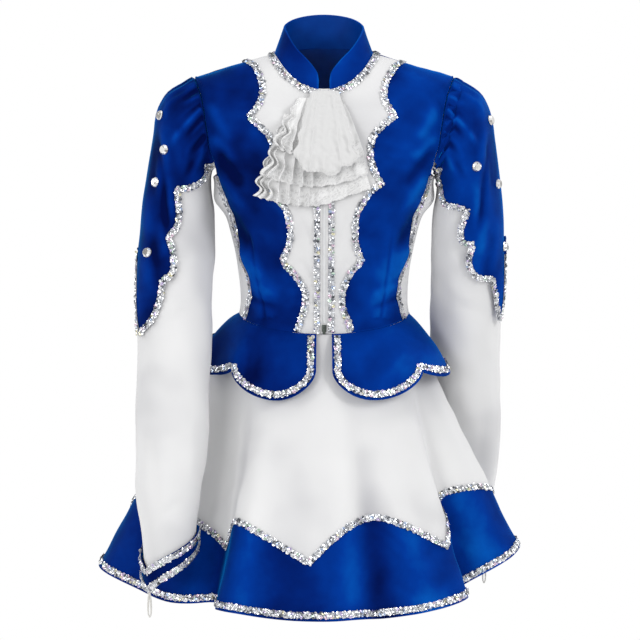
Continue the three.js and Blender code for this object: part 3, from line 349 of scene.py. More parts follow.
# Adds a shader node and returns one of its outputs. Feeds go to its inputs in order. Settings name
# an input, with underscores for spaces, or a property. Each is a value or another node's output.
def shader_node(material, kind, *feeds, output=0, **settings):
    tree = getattr(material, "node_tree", material)
    node = tree.nodes.new("ShaderNode" + kind)
    for key, value in [*settings.items(), *enumerate(feeds)]:
        socket = key if isinstance(key, int) else key.replace("_", " ")
        if isinstance(value, bpy.types.NodeSocket):
            tree.links.new(value, node.inputs[socket])
        elif isinstance(key, int) or socket in node.inputs:
            node.inputs[socket].default_value = value
        else:
            setattr(node, key, value)
    return node.outputs[output]


def texture(material, kind, output="Fac", space="Object", **settings):
    place = shader_node(material, "TexCoord", output=space)
    return shader_node(material, "Tex" + kind, output=output, Vector=place, **settings)


def maths(material, operation, *feeds):
    return shader_node(material, "Math", *feeds, operation=operation)


def attribute(material, name, output="Fac"):
    return shader_node(material, "Attribute", output=output, attribute_name=name)


# Colours along a ramp, from stops of a place and a colour.
def colour_ramp(material, factor, *stops):
    node = material.node_tree.nodes.new("ShaderNodeValToRGB")
    ends = node.color_ramp.elements
    ends[0].position, ends[1].position = stops[0][0], stops[-1][0]
    ends[0].color, ends[1].color = (*stops[0][1], 1), (*stops[-1][1], 1)
    for place, colour in stops[1:-1]:
        ends.new(place).color = (*colour, 1)
    material.node_tree.links.new(factor, node.inputs["Fac"])
    return node.outputs["Color"]


# A shader node group with named inputs and outputs, for an effect that several materials use.
def shader_group(name, inputs, outputs):
    group = bpy.data.node_groups.new(name, "ShaderNodeTree")
    for way, sockets in (("INPUT", inputs), ("OUTPUT", outputs)):
        for socket, kind in sockets.items():
            group.interface.new_socket(socket, in_out=way, socket_type="NodeSocket" + kind)
    return group, group.nodes.new("NodeGroupInput").outputs, group.nodes.new("NodeGroupOutput").inputs


# Fine grain between a dark and a light colour.
def grain_group():
    group, given, result = shader_group(
        "grain", {"Place": "Vector", "Scale": "Float", "Detail": "Float", "Dark": "Color", "Light": "Color"},
        {"Colour": "Color", "Height": "Float"})
    noise = shader_node(group, "TexNoise", output="Fac", Vector=given["Place"], Scale=given["Scale"],
                        Detail=given["Detail"])
    group.links.new(shader_node(group, "MixRGB", noise, given["Dark"], given["Light"]), result["Colour"])
    group.links.new(noise, result["Height"])
    return group


# Painted light on cloth: a painted highlight on the ridges of its folds and painted shade in their troughs.
def painted_fold_light_group():
    group, given, result = shader_group("painted_fold_light", {"Tone": "Float", "Fold": "Float", "Share": "Float"},
                                        {"Tone": "Float"})
    group.links.new(maths(group, "MULTIPLY_ADD", given["Fold"], given["Share"], given["Tone"]), result["Tone"])
    return group


grain, painted_fold_light = grain_group(), painted_fold_light_group()


def grained(material, scale, detail, dark, light):
    place = shader_node(material, "TexCoord", output="Object")
    return shader_node(material, "Group", output="Colour", node_tree=grain, Place=place, Scale=scale,
                       Detail=detail, Dark=(*dark, 1), Light=(*light, 1))


# Adds the painted fold highlight and shade to a tone, read from the fold attribute.
def with_painted_fold_light(material, tone, share=0.34):
    return shader_node(material, "Group", output="Tone", node_tree=painted_fold_light, Tone=tone,
                       Fold=attribute(material, "fold"), Share=share)


# Gives the surface its colour and, where there is one, its relief.
def finish(material, colour, relief=None, strength=0.0, distance=0.0):
    surface = material.node_tree.nodes["Principled BSDF"]
    material.node_tree.links.new(colour, surface.inputs["Base Color"])
    if relief:
        bump = shader_node(material, "Bump", Strength=strength, Distance=distance, Height=relief)
        material.node_tree.links.new(bump, surface.inputs["Normal"])
    return material


# Short-pile velvet: its sheen leaves it dark where it is seen along the pile and bright where it turns away.
# Its colour holds pile brushed a little unevenly, a painted highlight on the ridges of its folds, painted
# shade in their troughs, and painted side light: lighter towards the wearer's left, darker towards the right.
def velvet_material():
    material = surface_material("blue_velvet", Roughness=0.75, Specular_IOR_Level=0.02, Sheen_Weight=1.0,
                                Sheen_Roughness=0.3, Sheen_Tint=(0.0, 0.24, 0.72, 1))
    brushed = texture(material, "Noise", Scale=11, Detail=3, Roughness=0.5, Distortion=0.6)
    streaks = texture(material, "Noise", Scale=55, Detail=2, Roughness=0.6)
    pile = texture(material, "Noise", Scale=1100, Detail=2, Roughness=0.6)
    patches = maths(material, "MULTIPLY_ADD", brushed, 0.8, -0.07)
    finer = maths(material, "MULTIPLY_ADD", streaks, 0.16, patches)
    across = shader_node(material, "SeparateXYZ", shader_node(material, "TexCoord", output="Object"))
    # Painted side light: the tone rises across the dress towards the wearer's left, where the strongest lamp stands.
    painted_side_light = shader_node(material, "MapRange", across, From_Min=-0.24, From_Max=0.14, To_Min=-0.22, To_Max=0.17)
    brushed_tone_and_side_light = maths(material, "ADD", finer, painted_side_light)
    colour = colour_ramp(material, with_painted_fold_light(material, brushed_tone_and_side_light), (0.05, (0.0, 0.003, 0.050)), (0.34, (0.0, 0.013, 0.140)),
                         (0.66, (0.0, 0.032, 0.260)), (1, (0.001, 0.090, 0.430)))
    return finish(material, colour, pile, 0.3, 0.0005)


# Smooth white stretch knit with fine wales and a tone that differs at random, with painted shade in the troughs
# of its folds and a painted highlight on their ridges.
def knit_material():
    material = surface_material("white_knit", Roughness=0.8, Specular_IOR_Level=0.25, Sheen_Weight=0.15)
    wales = texture(material, "Wave", space="UV", Scale=420, Distortion=1.5, Detail=1)
    cloud = texture(material, "Noise", Scale=9, Detail=2)
    colour = colour_ramp(material, with_painted_fold_light(material, cloud), (0, (0.44, 0.44, 0.46)), (0.5, (0.655, 0.655, 0.66)),
                         (1, (0.73, 0.73, 0.73)))
    return finish(material, colour, wales, 0.12, 0.0003)


# Navy satin lining of the velvet pieces.
def satin_material():
    material = surface_material("navy_satin", Roughness=0.5, Specular_IOR_Level=0.12)
    colour = grained(material, 60, 3, (0.0, 0.028, 0.210), (0.0, 0.052, 0.330))
    return finish(material, colour, colour.node.outputs["Height"], 0.1, 0.0004)


velvet, knit, satin = velvet_material(), knit_material(), satin_material()


def zip_turn(across, ring):
    return across / np.radians(1) / bodice(90, ring)[..., 0] / (1 + FULLER_CORNERS)


def body_rows(turns, rings, rise):
    rows = bodice(turns, rings)
    normal = normals_of(bodice, turns, rings)
    height = rise(rows)
    return rows + normal * height[..., None], height


# Silver hologram sequins on a pale net ribbon, each with its own colour, which holds the hologram's tint and a
# painted reflection from dark to white.
def sequin_material():
    material = surface_material("hologram_sequins", Metallic=0.8, Coat_Weight=0.5, Coat_Roughness=0.06)
    scuffs = texture(material, "Noise", Scale=700, Detail=1)
    worn = shader_node(material, "MapRange", scuffs, To_Min=0.12, To_Max=0.34)
    material.node_tree.links.new(worn, material.node_tree.nodes["Principled BSDF"].inputs["Roughness"])
    return finish(material, attribute(material, "tint_and_glint", "Color"))


def ribbon_material():
    material = surface_material("trim_ribbon", Roughness=0.7)
    net = texture(material, "Voronoi", "Distance", Scale=650)
    return finish(material, colour_ramp(material, net, (0, (0.80, 0.81, 0.84)), (1, (0.45, 0.46, 0.50))))


sequins, ribbon = sequin_material(), ribbon_material()
SEQUIN = {"radius": 2.3, "pitch": 3.1, "cup": 0.55}
RIM = np.linspace(0, 2 * np.pi, 9)[:-1]
# Colours of a handful of sequins, from dark through silver to white, with a few faint colours: the faint
# colours are the hologram's own tints, and the dark and the white ones are painted reflections and painted glints.
SEQUIN_TINTS_AND_GLINTS = np.array([
    (0.10, 0.11, 0.13), (0.24, 0.25, 0.28), (0.40, 0.42, 0.46), (0.62, 0.64, 0.68), (0.78, 0.80, 0.84),
    (0.90, 0.92, 0.95), (0.98, 0.98, 1.0), (0.98, 0.98, 1.0), (0.72, 0.62, 0.92), (0.92, 0.70, 0.84),
    (0.55, 0.68, 0.95), (0.70, 0.90, 0.74), (0.95, 0.90, 0.62),
])
SEQUIN_SHARES = np.array([4, 6, 10, 15, 17, 16, 11, 7, 4, 3, 3, 2, 2]) / 100
# Offsets of the rows across a trim and the width of its ribbon.
THREE_ROWS, TWO_ROWS, ZIP_ROWS = ((-2.4, 0.0, 2.4), 5.6), ((-2.2, 2.2), 6.4), ((-1.9, 1.9), 5.4)


# Search trees of finished pieces, to find where their surfaces lie.
def trees_of(pieces):
    return [BVHTree.FromObject(piece, bpy.context.evaluated_depsgraph_get()) for piece in pieces]


# A closed shape from points in millimetres, with its faces turned outward.
def closed_shape(name, points, faces, *materials):
    mesh = bpy.data.meshes.new(name)
    mesh.from_pydata((np.asarray(points).reshape(-1, 3) / 1000).tolist(), [], faces)
    for material in materials:
        mesh.materials.append(material)
    piece = add_object(name, mesh)
    bpy.ops.object.mode_set(mode="EDIT")
    bpy.ops.mesh.select_all(action="SELECT")
    bpy.ops.mesh.normals_make_consistent(inside=False)
    bpy.ops.object.mode_set(mode="OBJECT")
    return piece


# Point and normal on the finished cloth where a line along the given normals meets it.
def settle(trees, points, normals, least=-6.0, reach=14):
    spots, facing = np.array(points, float), np.array(normals, float)
    for index, (point, normal) in enumerate(zip(points, normals)):
        start = Vector((point + normal * reach) / 1000)
        best = None
        for tree in trees:
            hit, hit_normal, _, distance = tree.ray_cast(start, Vector(-normal), 2 * reach / 1000)
            if hit is not None and (best is None or distance < best[2]):
                best = (hit, hit_normal, distance)
        if best:
            height = (np.array(best[0]) * 1000 - point) @ normal
            spots[index] = point + normal * max(height, least)
            if best[1].dot(Vector(normal)) > 0.5:
                facing[index] = best[1]
    return spots, facing


# Sequins sewn along a path of points and normals, in rows across a flat ribbon.
def sequin_trim(name, points, normals, cloths, node, seed, rows=THREE_ROWS, least=-6.0):
    offsets, width = rows
    chance = np.random.default_rng(seed)
    trees = trees_of(cloths)
    length = run_length(points)
    keep = np.concatenate([[True], np.diff(length) > 1e-6])
    points, normals, length = points[keep], normals[keep], length[keep]

    def along(at):
        def value(columns, shift=0.0):
            return np.stack([np.interp(at + shift, length, columns[:, k]) for k in range(3)], -1)

        way = unit(value(points, 1.2) - value(points, -1.2))
        normal = value(normals)
        normal = unit(normal - way * np.sum(normal * way, -1, keepdims=True))
        return value(points), normal, np.cross(normal, way)

    # the ribbon, a flat band 0.5 mm thick
    stops = np.linspace(0.6, length[-1] - 0.6, max(int(length[-1] / 4), 2))
    spot, normal, across = along(stops)
    vertices, faces = [], []
    for lift in (0.15, 0.65):
        for sign in (-1, 1):
            edge, _ = settle(trees, spot + across * sign * width / 2, normal, least)
            vertices += list(edge + normal * lift)
    low_left, low_right, top_left, top_right = (np.arange(len(stops)) + k * len(stops) for k in range(4))
    for a, b in ((top_left, top_right), (top_right, low_right), (low_right, low_left), (low_left, top_left)):
        faces += np.stack([a[:-1], b[:-1], b[1:], a[1:]], -1).tolist()
    for end, way in ((0, 1), (-1, -1)):
        faces.append([int(part[end]) for part in (low_left, low_right, top_right, top_left)][::way])
    marks, tints_and_glints = [1] * len(faces), [(0.8, 0.8, 0.82)] * len(vertices)

    # the sequins: a shallow cup of eight facets each, tilted at random
    at, out = [], []
    for row, offset in enumerate(offsets):
        count = max(int(length[-1] / SEQUIN["pitch"]), 1)
        places = (np.arange(count) + 0.5 * (row % 2) + 0.25) * length[-1] / count
        at.append(places + chance.uniform(-0.7, 0.7, count))
        out.append(offset * (1 + 0.16 * np.sin(places * 2 * np.pi / 7.6)) + chance.uniform(-0.45, 0.45, count))
    at, out = np.clip(np.concatenate(at), 1.4, length[-1] - 1.4), np.concatenate(out)
    spot, normal, across = along(at)
    spot, normal = settle(trees, spot + across * out[:, None], normal, least)
    for index in range(len(at)):
        tilt = unit(normal[index] + 0.30 * chance.normal(size=3))
        side = unit(np.cross(tilt, chance.normal(size=3)))
        radius = SEQUIN["radius"] * chance.uniform(0.8, 1.12)
        centre = spot[index] + normal[index] * chance.uniform(1.0, 2.2)
        first = len(vertices)
        vertices += [*(centre + radius * (np.cos(RIM)[:, None] * side + np.sin(RIM)[:, None] * np.cross(tilt, side))),
                     centre + tilt * SEQUIN["cup"], centre - tilt * 0.2]
        for k in range(8):
            following = (k + 1) % 8
            faces.append([first + k, first + following, first + 8])
            faces.append([first + following, first + k, first + 9])
        marks += [0] * 16
        tint_and_glint = SEQUIN_TINTS_AND_GLINTS[chance.choice(len(SEQUIN_TINTS_AND_GLINTS), p=SEQUIN_SHARES)]
        tints_and_glints += [tuple(tint_and_glint)] * 8 + [tuple(0.5 * tint_and_glint)] * 2
    piece = closed_shape(name, vertices, faces, sequins, ribbon)
    piece.data.polygons.foreach_set("material_index", marks)
    colour = piece.data.color_attributes.new(name="tint_and_glint", type="FLOAT_COLOR", domain="POINT")
    colour.data.foreach_set("color", np.hstack([np.array(tints_and_glints), np.ones((len(tints_and_glints), 1))]).ravel())
    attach(piece, "root")
    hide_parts(node)


# A rolled seam of velvet along a path, where two pieces are sewn together.
def seam_cord(name, points, normals, cloths, radius, sink=0.5):
    spot, _ = settle(trees_of(cloths), points, normals, -3.0)
    spot = spot - normals * sink
    way = unit(np.gradient(spot, axis=0))
    normal = unit(normals - way * np.sum(normals * way, -1, keepdims=True))
    size = radius * (1 + 0.12 * np.sin(np.arange(len(spot)) * 1.7))[:, None, None]
    rings = spot[:, None] + size * (np.cos(RIM)[None, :, None] * normal[:, None]
                                    + np.sin(RIM)[None, :, None] * np.cross(normal, way)[:, None])
    index = np.arange(len(spot) * 8).reshape(-1, 8)
    corners = quads(np.pad(index, ((0, 0), (0, 1)), mode="wrap"))
    faces = np.stack([corner.ravel() for corner in corners], -1).tolist()
    faces += [index[0].tolist(), index[-1].tolist()[::-1]]
    cord = closed_shape(name, rings, faces, velvet)
    cord.data.attributes.new("fold", "FLOAT", "POINT")
    bpy.ops.object.shade_smooth()
    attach(cord, "root")


# Creases of a velvet front and of a white front piece: start, end, rise and width.
FRONT_CREASES = [
    ((128, -196), (92, -262), -2.8, 8), ((118, -250), (80, -300), 2.6, 8), ((152, -62), (118, -120), 2.6, 8),
    ((146, -120), (104, -176), -3.0, 9), ((150, -104), (112, -140), 2.4, 7), ((140, -150), (96, -212), 2.6, 7),
    ((104, -318), (60, -332), -2.2, 4.5), ((104, -300), (56, -316), 1.8, 5.5),
]
FRONT_DARTS = {"right": ((101, -220), (77, -346)), "left": ((90, -221), (74, -346))}
PLASTRON_CREASES = [
    ((70, -60), (18, -210), 1.1, 12), ((36, -200), (10, -260), -1.0, 5), ((34, -262), (12, -300), -1.2, 5),
    ((26, -300), (12, -345), 0.9, 5),
]
SIDE_BULGE = {"height": -192, "rise": 10, "spread": 17}
columns = np.linspace(0, 1, 48)[None, :]
fine_columns = np.linspace(0, 1, 26)[None, :]
bodice_cloths = []
for side, sign in SIDES:
    half = halves[side]
    inner_turn, inner_ring = half["inner_turn"][:, None], half["inner_ring"][:, None]
    outer_turn, outer_ring = half["outer_turn"][:, None], half["outer_ring"][:, None]

    # the velvet front, with its dart and the pull lines of a close fit
    def front_rise(rows, side=side, sign=sign):
        dart = [(*FRONT_DARTS[side], -1.9, 2.2, (0.35, 0.01)), (*FRONT_DARTS[side], 2.2, 11, (0.5, 0.01))]
        return (creases(rows, dart + FRONT_CREASES, sign)
                + uneven(rows, 70, 0.9, 11 + sign) + uneven(rows, 26, 0.3, 21 + sign))

    rows, fold = body_rows(mix(inner_turn, outer_turn, columns), mix(inner_ring, outer_ring, columns), front_rise)
    piece = cloth(f"velvet_front_{side}", rows, VELVET_WALL, velvet, f"front_panel_{side}",
                  lining=satin, fold=fold)
    bodice_cloths.append(piece)

    # the white front piece, between the zip and the jagged edge
    place = np.linspace(0, 1, len(inner_turn))
    neck_ring = mix(9.0, half["inner_ring"], ease(0.2, 0.36, place))
    neck_turn = sign * mix(90, zip_turn(ZIP_TAPE + 0.3, 9.0), np.clip(place / 0.2, 0, 1))
    start_turn = np.where(place < 0.2, neck_turn, sign * zip_turn(ZIP_TAPE + 0.3, neck_ring))

    def plastron_rise(rows, sign=sign):
        return creases(rows, PLASTRON_CREASES, sign) + uneven(rows, 60, 0.5, 31 + sign)

    rows, _ = body_rows(mix(start_turn[:, None], inner_turn, fine_columns),
                        mix(neck_ring[:, None], inner_ring, fine_columns), plastron_rise)
    piece = cloth(f"white_front_{side}", rows, KNIT_WALL, knit, f"plastron_{side}")
    bodice_cloths.append(piece)

    # the white side under the arm, full where the arm leaves it
    low = half["outer_height"] <= ARMPIT
    turn, ring = outer_turn[low], outer_ring[low]
    scoop = ARMPIT_SCOOP * np.sin(np.pi * columns) * (1 - ease(0, 0.12, np.linspace(0, 1, low.sum())))[:, None]

    def side_rise(rows):
        away = (rows[..., 2] - SIDE_BULGE["height"]) / SIDE_BULGE["spread"]
        return uneven(rows, 50, 0.5, 41) + SIDE_BULGE["rise"] * np.exp(-(away**2)) * np.sin(np.pi * columns) ** 0.5

    rows, _ = body_rows(mix(turn, sign * 180 - turn, columns), ring - scoop, side_rise)
    piece = cloth(f"white_side_{side}", rows, KNIT_WALL, knit, f"side_panel_{side}")
    bodice_cloths.append(piece)

# the velvet back, from the collar seam to the waist
edge = {side: (np.concatenate([np.full(12, sign * 90.0), sign * 180 - halves[side]["outer_turn"]])[:, None],
               np.concatenate([np.linspace(9, 8, 13)[:-1], halves[side]["outer_ring"]])[:, None])
        for side, sign in SIDES}
columns, place = np.linspace(0, 1, 100)[None, :], np.linspace(0, 1, len(edge["left"][0]))[:, None]
turns = mix(edge["left"][0], 360 + edge["right"][0], columns)
rings = mix(edge["left"][1], edge["right"][1], columns)
rings = mix(rings, 9 * (1 - place), np.sin(np.pi * columns) * ease(0, 0.22, place))
BACK_CREASES = [
    ((62, -190), (52, -350), -1.5, 2.6, (0.3, 0.01)), ((132, -130), (84, -186), -2.2, 9),
    ((112, -232), (66, -282), 1.9, 9), ((104, -300), (40, -326), -1.7, 7),
]


def back_rise(rows):
    return (uneven(rows, 80, 0.8, 51) + uneven(rows, 24, 0.2, 52)
            + creases(rows, BACK_CREASES, -1, False) + creases(rows, BACK_CREASES, 1, False))


rows, fold = body_rows(turns, rings, back_rise)
back = cloth("velvet_back", rows, VELVET_WALL, velvet, "back", lining=satin, fold=fold)
bodice_cloths.append(back)


# seams and sequin trims on the bodice: the jagged edges, the side seams and the zip's edges
def on_bodice(turn, ring):
    return bodice(turn, ring), normals_of(bodice, turn, ring)


for side, sign in SIDES:
    half = halves[side]
    ring = np.maximum(half["inner_ring"], 0.05)
    sequin_trim(f"jagged_trim_{side}", *on_bodice(half["inner_turn"], ring), bodice_cloths,
                f"plastron_trim_{side}", 301 + sign)
    low = half["outer_height"] <= ARMPIT
    turn, ring = half["outer_turn"][low], np.maximum(half["outer_ring"][low], 0.05)
    sequin_trim(f"side_seam_trim_{side}", *on_bodice(turn, ring), bodice_cloths, f"side_trim_{side}",
                311 + sign, TWO_ROWS)
    sequin_trim(f"back_seam_trim_{side}", *on_bodice(sign * 180 - turn, ring), bodice_cloths,
                f"back_trim_{side}", 321 + sign, TWO_ROWS)
    high = half["outer_height"] > ARMPIT - 3
    turn, ring = half["outer_turn"][high], half["outer_ring"][high]
    turn = np.concatenate([sign * 180 - turn[::-1], turn[1:]])
    ring = np.concatenate([ring[::-1], ring[1:]])
    seam_cord(f"armhole_seam_{side}", *on_bodice(turn, ring), bodice_cloths, radius=1.1, sink=0.2)
    ring = np.linspace(on_front(sign * 10.5, -176)[1], 0.06, 80)
    sequin_trim(f"zip_edge_trim_{side}", *on_bodice(sign * zip_turn(9.5, ring), ring), bodice_cloths,
                f"zip_braid_{side}", 331 + sign, ZIP_ROWS)

turn = np.linspace(19.5, 340.5, 280)
seam_cord("waist_seam", *on_bodice(turn, np.full(turn.shape, 0.02)), bodice_cloths, radius=1.2)

# ------------------------------------------------------------------------ collar
# Velvet stand collar, stiffened, set into the neck seam. It leans in towards the neck and its
# two front ends are rounded off, with a satin lining that shows inside the back.
COLLAR = {"wall": 2.0, "front_gap": 6.5, "lean": 11, "front_rise": 32, "back_rise": 43, "end_radius": 30,
          "end_share": 0.75, "side_dip": 3.6, "sunk": 1.8}


def collar_point(turn, rise):
    base = bodice(turn, 9.0)
    shift = (-COLLAR["lean"] * rise / COLLAR["front_rise"] + 0.4)[..., None]
    return base + unit(base * (1, 1, 0)) * shift + np.stack([0 * rise, 0 * rise, rise + 1], -1)


neck_width = BODICE["half_width"][-1] * math.radians(1)
end_turn = COLLAR["front_gap"] / neck_width
place = np.linspace(0, 1, 140)
turn = mix(end_turn, 360 - end_turn, mix(place, (1 - np.cos(np.pi * place)) / 2, 0.45))
from_end = np.minimum(turn - end_turn, 360 - end_turn - turn) * neck_width
near = np.maximum(COLLAR["end_radius"] - from_end, 0) / COLLAR["end_radius"]
full = mix(COLLAR["front_rise"], COLLAR["back_rise"], (1 - np.cos(np.radians(turn))) / 2)
full -= COLLAR["side_dip"] * np.exp(-(((np.minimum(turn, 360 - turn) - 88) / 34) ** 2))
rounding = 1 - np.sqrt(np.maximum(1 - near**2, 0))
top = full - COLLAR["end_radius"] * rounding * COLLAR["end_share"]
part = np.linspace(0, 1, 40)[:, None]
rise = mix(-COLLAR["sunk"], top[None, :], part)
rows = collar_point(np.broadcast_to(turn, rise.shape), rise)
fold = uneven(rows, 40, 0.5, 61)
rows = lifted(rows, fold, rows * (0, 0, 1))
# Painted highlight: the collar's top edge and its rounded front ends are made paler through the fold attribute, and
# its swells get a doubled painted highlight and shade.
edge_highlight = np.maximum(ease(0.955, 0.985, part), 1 - ease(0.8, 2.2, np.broadcast_to(from_end, rise.shape)))
collar = cloth("stand_collar", rows, COLLAR["wall"], velvet, "collar", lining=satin,
               fold=fold * 2 + 3.4 * edge_highlight)

# the trim that follows the collar seam round the neck
turn = np.linspace(7, 353, 240)
slope = np.linalg.norm(bodice(turn, 9.0) - bodice(turn, 8.0), axis=-1)
sequin_trim("neck_trim", *on_bodice(turn, 9 - 6.4 / slope), bodice_cloths, "collar_trim", 341)

# ------------------------------------------------------------------------ peplum
# A short flared velvet skirt on the waist seam, open at the front and cut in lobes.
PEPLUM_DEPTH = 80
PEPLUM_RADIUS = 135
PEPLUM_TRIM = {"inset": 6.8, "front_inset": 3.1}
PEPLUM_REACH = {
    "turn": [0, 25, 50, 68, 82, 96, 116, 145, 165, 180, 197, 220, 245, 262, 276, 290, 310, 335],
    "reach": [137, 147, 168, 178, 174, 150, 146, 155, 147, 141, 150, 161, 176, 186, 184, 161, 158, 147],
}
PEPLUM_LOBES = [
    {"from": 4.5, "to": 54, "start": 44, "depth": 82, "end": 57},
    {"from": 54, "to": 97, "start": 57, "depth": 73, "end": 36},
    {"from": 97, "to": 139, "start": 36, "depth": 68, "end": 44},
    {"from": 139, "to": 179.6, "start": 44, "depth": 76, "end": 50},
]


def read_round(table, name, turn):
    turns, values = table["turn"], table[name]
    wide = {"turn": [t - 360 for t in turns[-2:]] + turns + [t + 360 for t in turns[:2]],
            name: values[-2:] + values + values[:2]}
    return read(wide, "turn", name, np.mod(turn, 360))


def flared(turn, reach, height):
    return np.stack([reach * np.sin(np.radians(turn)), -reach * np.cos(np.radians(turn)), height], -1)


def peplum_point(turn, depth):
    start = bodice(turn, 0.0)
    end = flared(turn, read_round(PEPLUM_REACH, "reach", turn), start[..., 2] - PEPLUM_DEPTH)
    part = np.maximum((depth + 1) / PEPLUM_DEPTH, 0)
    return start + (end - start) * np.stack([part**0.72, part**0.72, part], -1)


def peplum_edge(sign, count=44):
    turn, depth = [], []
    for lobe in PEPLUM_LOBES:
        part = np.linspace(0, 1, count)[: count if lobe is PEPLUM_LOBES[-1] else -1]
        across = mix(part, (1 - np.cos(np.pi * part)) / 2, 0.6)
        turn.append(sign * mix(lobe["from"], lobe["to"], across))
        depth.append(mix(mix(lobe["start"], lobe["end"], across), lobe["depth"], np.sin(np.pi * across) ** 0.62))
    return np.concatenate(turn), np.concatenate(depth)


for side, sign in SIDES:
    turn, depth = peplum_edge(sign)
    part = np.linspace(0, 1, 34)[:, None]
    rows = peplum_point(np.broadcast_to(turn, (len(part), len(turn))), mix(-0.85, depth[None, :], part))
    swell = uneven(rows, 60, 2.2, 71 + sign) * part
    rows = lifted(rows, swell, rows * (0, 0, 1))
    piece = cloth(f"velvet_peplum_{side}", rows, VELVET_WALL, velvet, f"peplum_{side}",
                  lining=satin, fold=0.6 * swell)

    # its trim, set a little in from the front edge and the lobes
    across = np.gradient(turn) * math.radians(1) * PEPLUM_RADIUS * sign
    slope = np.gradient(depth) / np.maximum(across, 0.3)
    shift = PEPLUM_TRIM["inset"] / np.hypot(1, slope)
    inset_turn = turn + sign * np.clip(np.degrees(shift * slope / PEPLUM_RADIUS), -2.8, 2.8)
    inset_depth = depth - shift
    front_turn = turn[0] + sign * PEPLUM_TRIM["front_inset"]
    later = sign * inset_turn > sign * front_turn + 0.2
    path_turn = np.concatenate([np.full(30, front_turn), inset_turn[later]])
    path_depth = np.concatenate([np.linspace(2, inset_depth[later][0] - 4, 30), inset_depth[later]])
    normal = normals_of(peplum_point, path_turn, path_depth, -1)
    sequin_trim(f"peplum_edge_trim_{side}", peplum_point(path_turn, path_depth), normal, [piece],
                f"peplum_trim_{side}", 351 + sign)

# ------------------------------------------------------------------------ skirt
# A full circle-cut skirt of white knit in a front and a back, with a velvet band at the hem
# whose top edge is cut in scallops.
HEM = {
    "turn": [0, 16, 32, 48, 59, 72, 84, 100, 122, 140, 154, 168, 184, 200, 216, 230, 248, 266, 282, 296, 310,
             324, 336, 348],
    "reach": [246, 240, 248, 249, 216, 262, 258, 166, 170, 236, 262, 232, 258, 228, 264, 236, 296, 313, 264,
              228, 190, 236, 246, 241],
    "height": [-706, -706, -704, -698, -696, -665, -658, -704, -708, -704, -702, -706, -703, -706, -702, -705,
               -700, -701, -713, -722, -716, -706, -704, -707],
}
BAND_TIP = 0.805
BAND_SCALLOPS = {
    "tip": [-5, 45, 86, 124, 158, 193, 226, 258, 313],
    "peak": [19, 60, 100, 137, 170, 205, 239, 285, 327],
    "top": [0.655, 0.655, 0.655, 0.655, 0.655, 0.655, 0.655, 0.655, 0.688],
}


def skirt_point(turn, place):
    start = bodice(turn, 0.0)
    place = np.asarray(place)[..., None]
    start = start + unit(start * (1, 1, 0)) * (-2.5 + 0.3 * place)
    end = flared(turn, read_round(HEM, "reach", turn), read_round(HEM, "height", turn))
    return start + (end - start) * place


def band_top(turn):
    around = np.mod(np.asarray(turn, float), 360)
    result = np.full(around.shape, BAND_TIP)
    tips = BAND_SCALLOPS["tip"]
    for index, (tip, peak, high) in enumerate(zip(tips, BAND_SCALLOPS["peak"], BAND_SCALLOPS["top"])):
        following = tips[index + 1] if index + 1 < len(tips) else tips[0] + 360
        for angle in (around, around - 360):
            rising = (angle >= tip) & (angle <= peak)
            falling = (angle > peak) & (angle <= following)
            up = np.clip((angle - tip) / (peak - tip), 0, 1)
            down = np.clip((angle - peak) / (following - peak), 0, 1)
            result = np.where(rising, mix(BAND_TIP, high, np.sin(np.pi / 2 * up) ** 0.9), result)
            result = np.where(falling, mix(high, BAND_TIP, down**1.35), result)
    return result


# Soft folds that start below the waist and open towards the hem: angle at the waist and at the
# hem, height, width in degrees, and where along the skirt the fold starts.
SKIRT_FOLDS = [
    (-52, -58, 9, 6, 0.25), (-38, -41, -8, 5, 0.25), (-27, -26, 8, 5, 0.35), (7, 9, 6, 5, 0.3),
    (14, 19, -9, 4.5, 0.3), (25, 33, 6, 5, 0.35), (48, 56, -8, 6, 0.3), (60, 66, 8, 5, 0.3),
    (-80, -86, 5, 6, 0.4), (82, 88, -4, 6, 0.4), (112, 108, 6, 6, 0.3), (128, 126, -6, 6, 0.35),
    (148, 150, 6, 6, 0.3), (163, 162, -6, 6, 0.4), (178, 180, 5, 5, 0.3), (194, 198, -6, 6, 0.4),
    (210, 208, 6, 6, 0.35), (226, 230, -5, 6, 0.3), (244, 246, 6, 7, 0.35), (258, 262, -5, 6, 0.4),
]
FOLD_SHARE = 0.68
HEM_TRIM_PLACE = 0.981


def skirt_rows(turns, places):
    turns = np.broadcast_to(turns, places.shape)
    rows = skirt_point(turns, places)
    normal = normals_of(skirt_point, turns, places, -1)
    swell = uneven(rows, 110, 1.8, 81) * ease(0.15, 0.7, places) + uneven(rows, 45, 0.6, 82) * ease(0.1, 0.4, places)
    folds = np.zeros(turns.shape)
    for waist, hem, height, width, start in SKIRT_FOLDS:
        away = np.abs((turns - mix(waist, hem, places) + 180) % 360 - 180)
        folds += height * FOLD_SHARE * np.exp(-((away / width) ** 2)) * ease(start - 0.15, start + 0.5, places)
    return rows + normal * (swell + folds)[..., None], folds


for name, start, end in (("front", -90, 90), ("back", 90, 270)):
    turns = np.linspace(start, end, 236)[None, :]
    top = band_top(turns)
    rows, fold = skirt_rows(turns, mix(0.004, top, np.linspace(0, 1, 42)[:, None]))
    white = cloth(f"white_skirt_{name}", rows, KNIT_WALL, knit, f"skirt_{name}", fold=0.6 * fold)
    rows, fold = skirt_rows(turns, mix(top, 1.0, np.linspace(0, 1, 18)[:, None]))
    band = cloth(f"velvet_band_{name}", rows, VELVET_WALL, velvet, f"hem_band_{name}",
                 lining=satin, fold=0.5 * fold)
    turns = np.linspace(start + 0.7, end - 0.7, 700)
    for what, node, places, seed in (("scallop", "band", band_top(turns), 361),
                                     ("hem", "hem", np.full(turns.shape, HEM_TRIM_PLACE), 363)):
        normal = normals_of(skirt_point, turns, places, -1)
        sequin_trim(f"{what}_sequins_{name}", skirt_point(turns, places), normal, [white, band],
                    f"{node}_trim_{name}", seed + start)

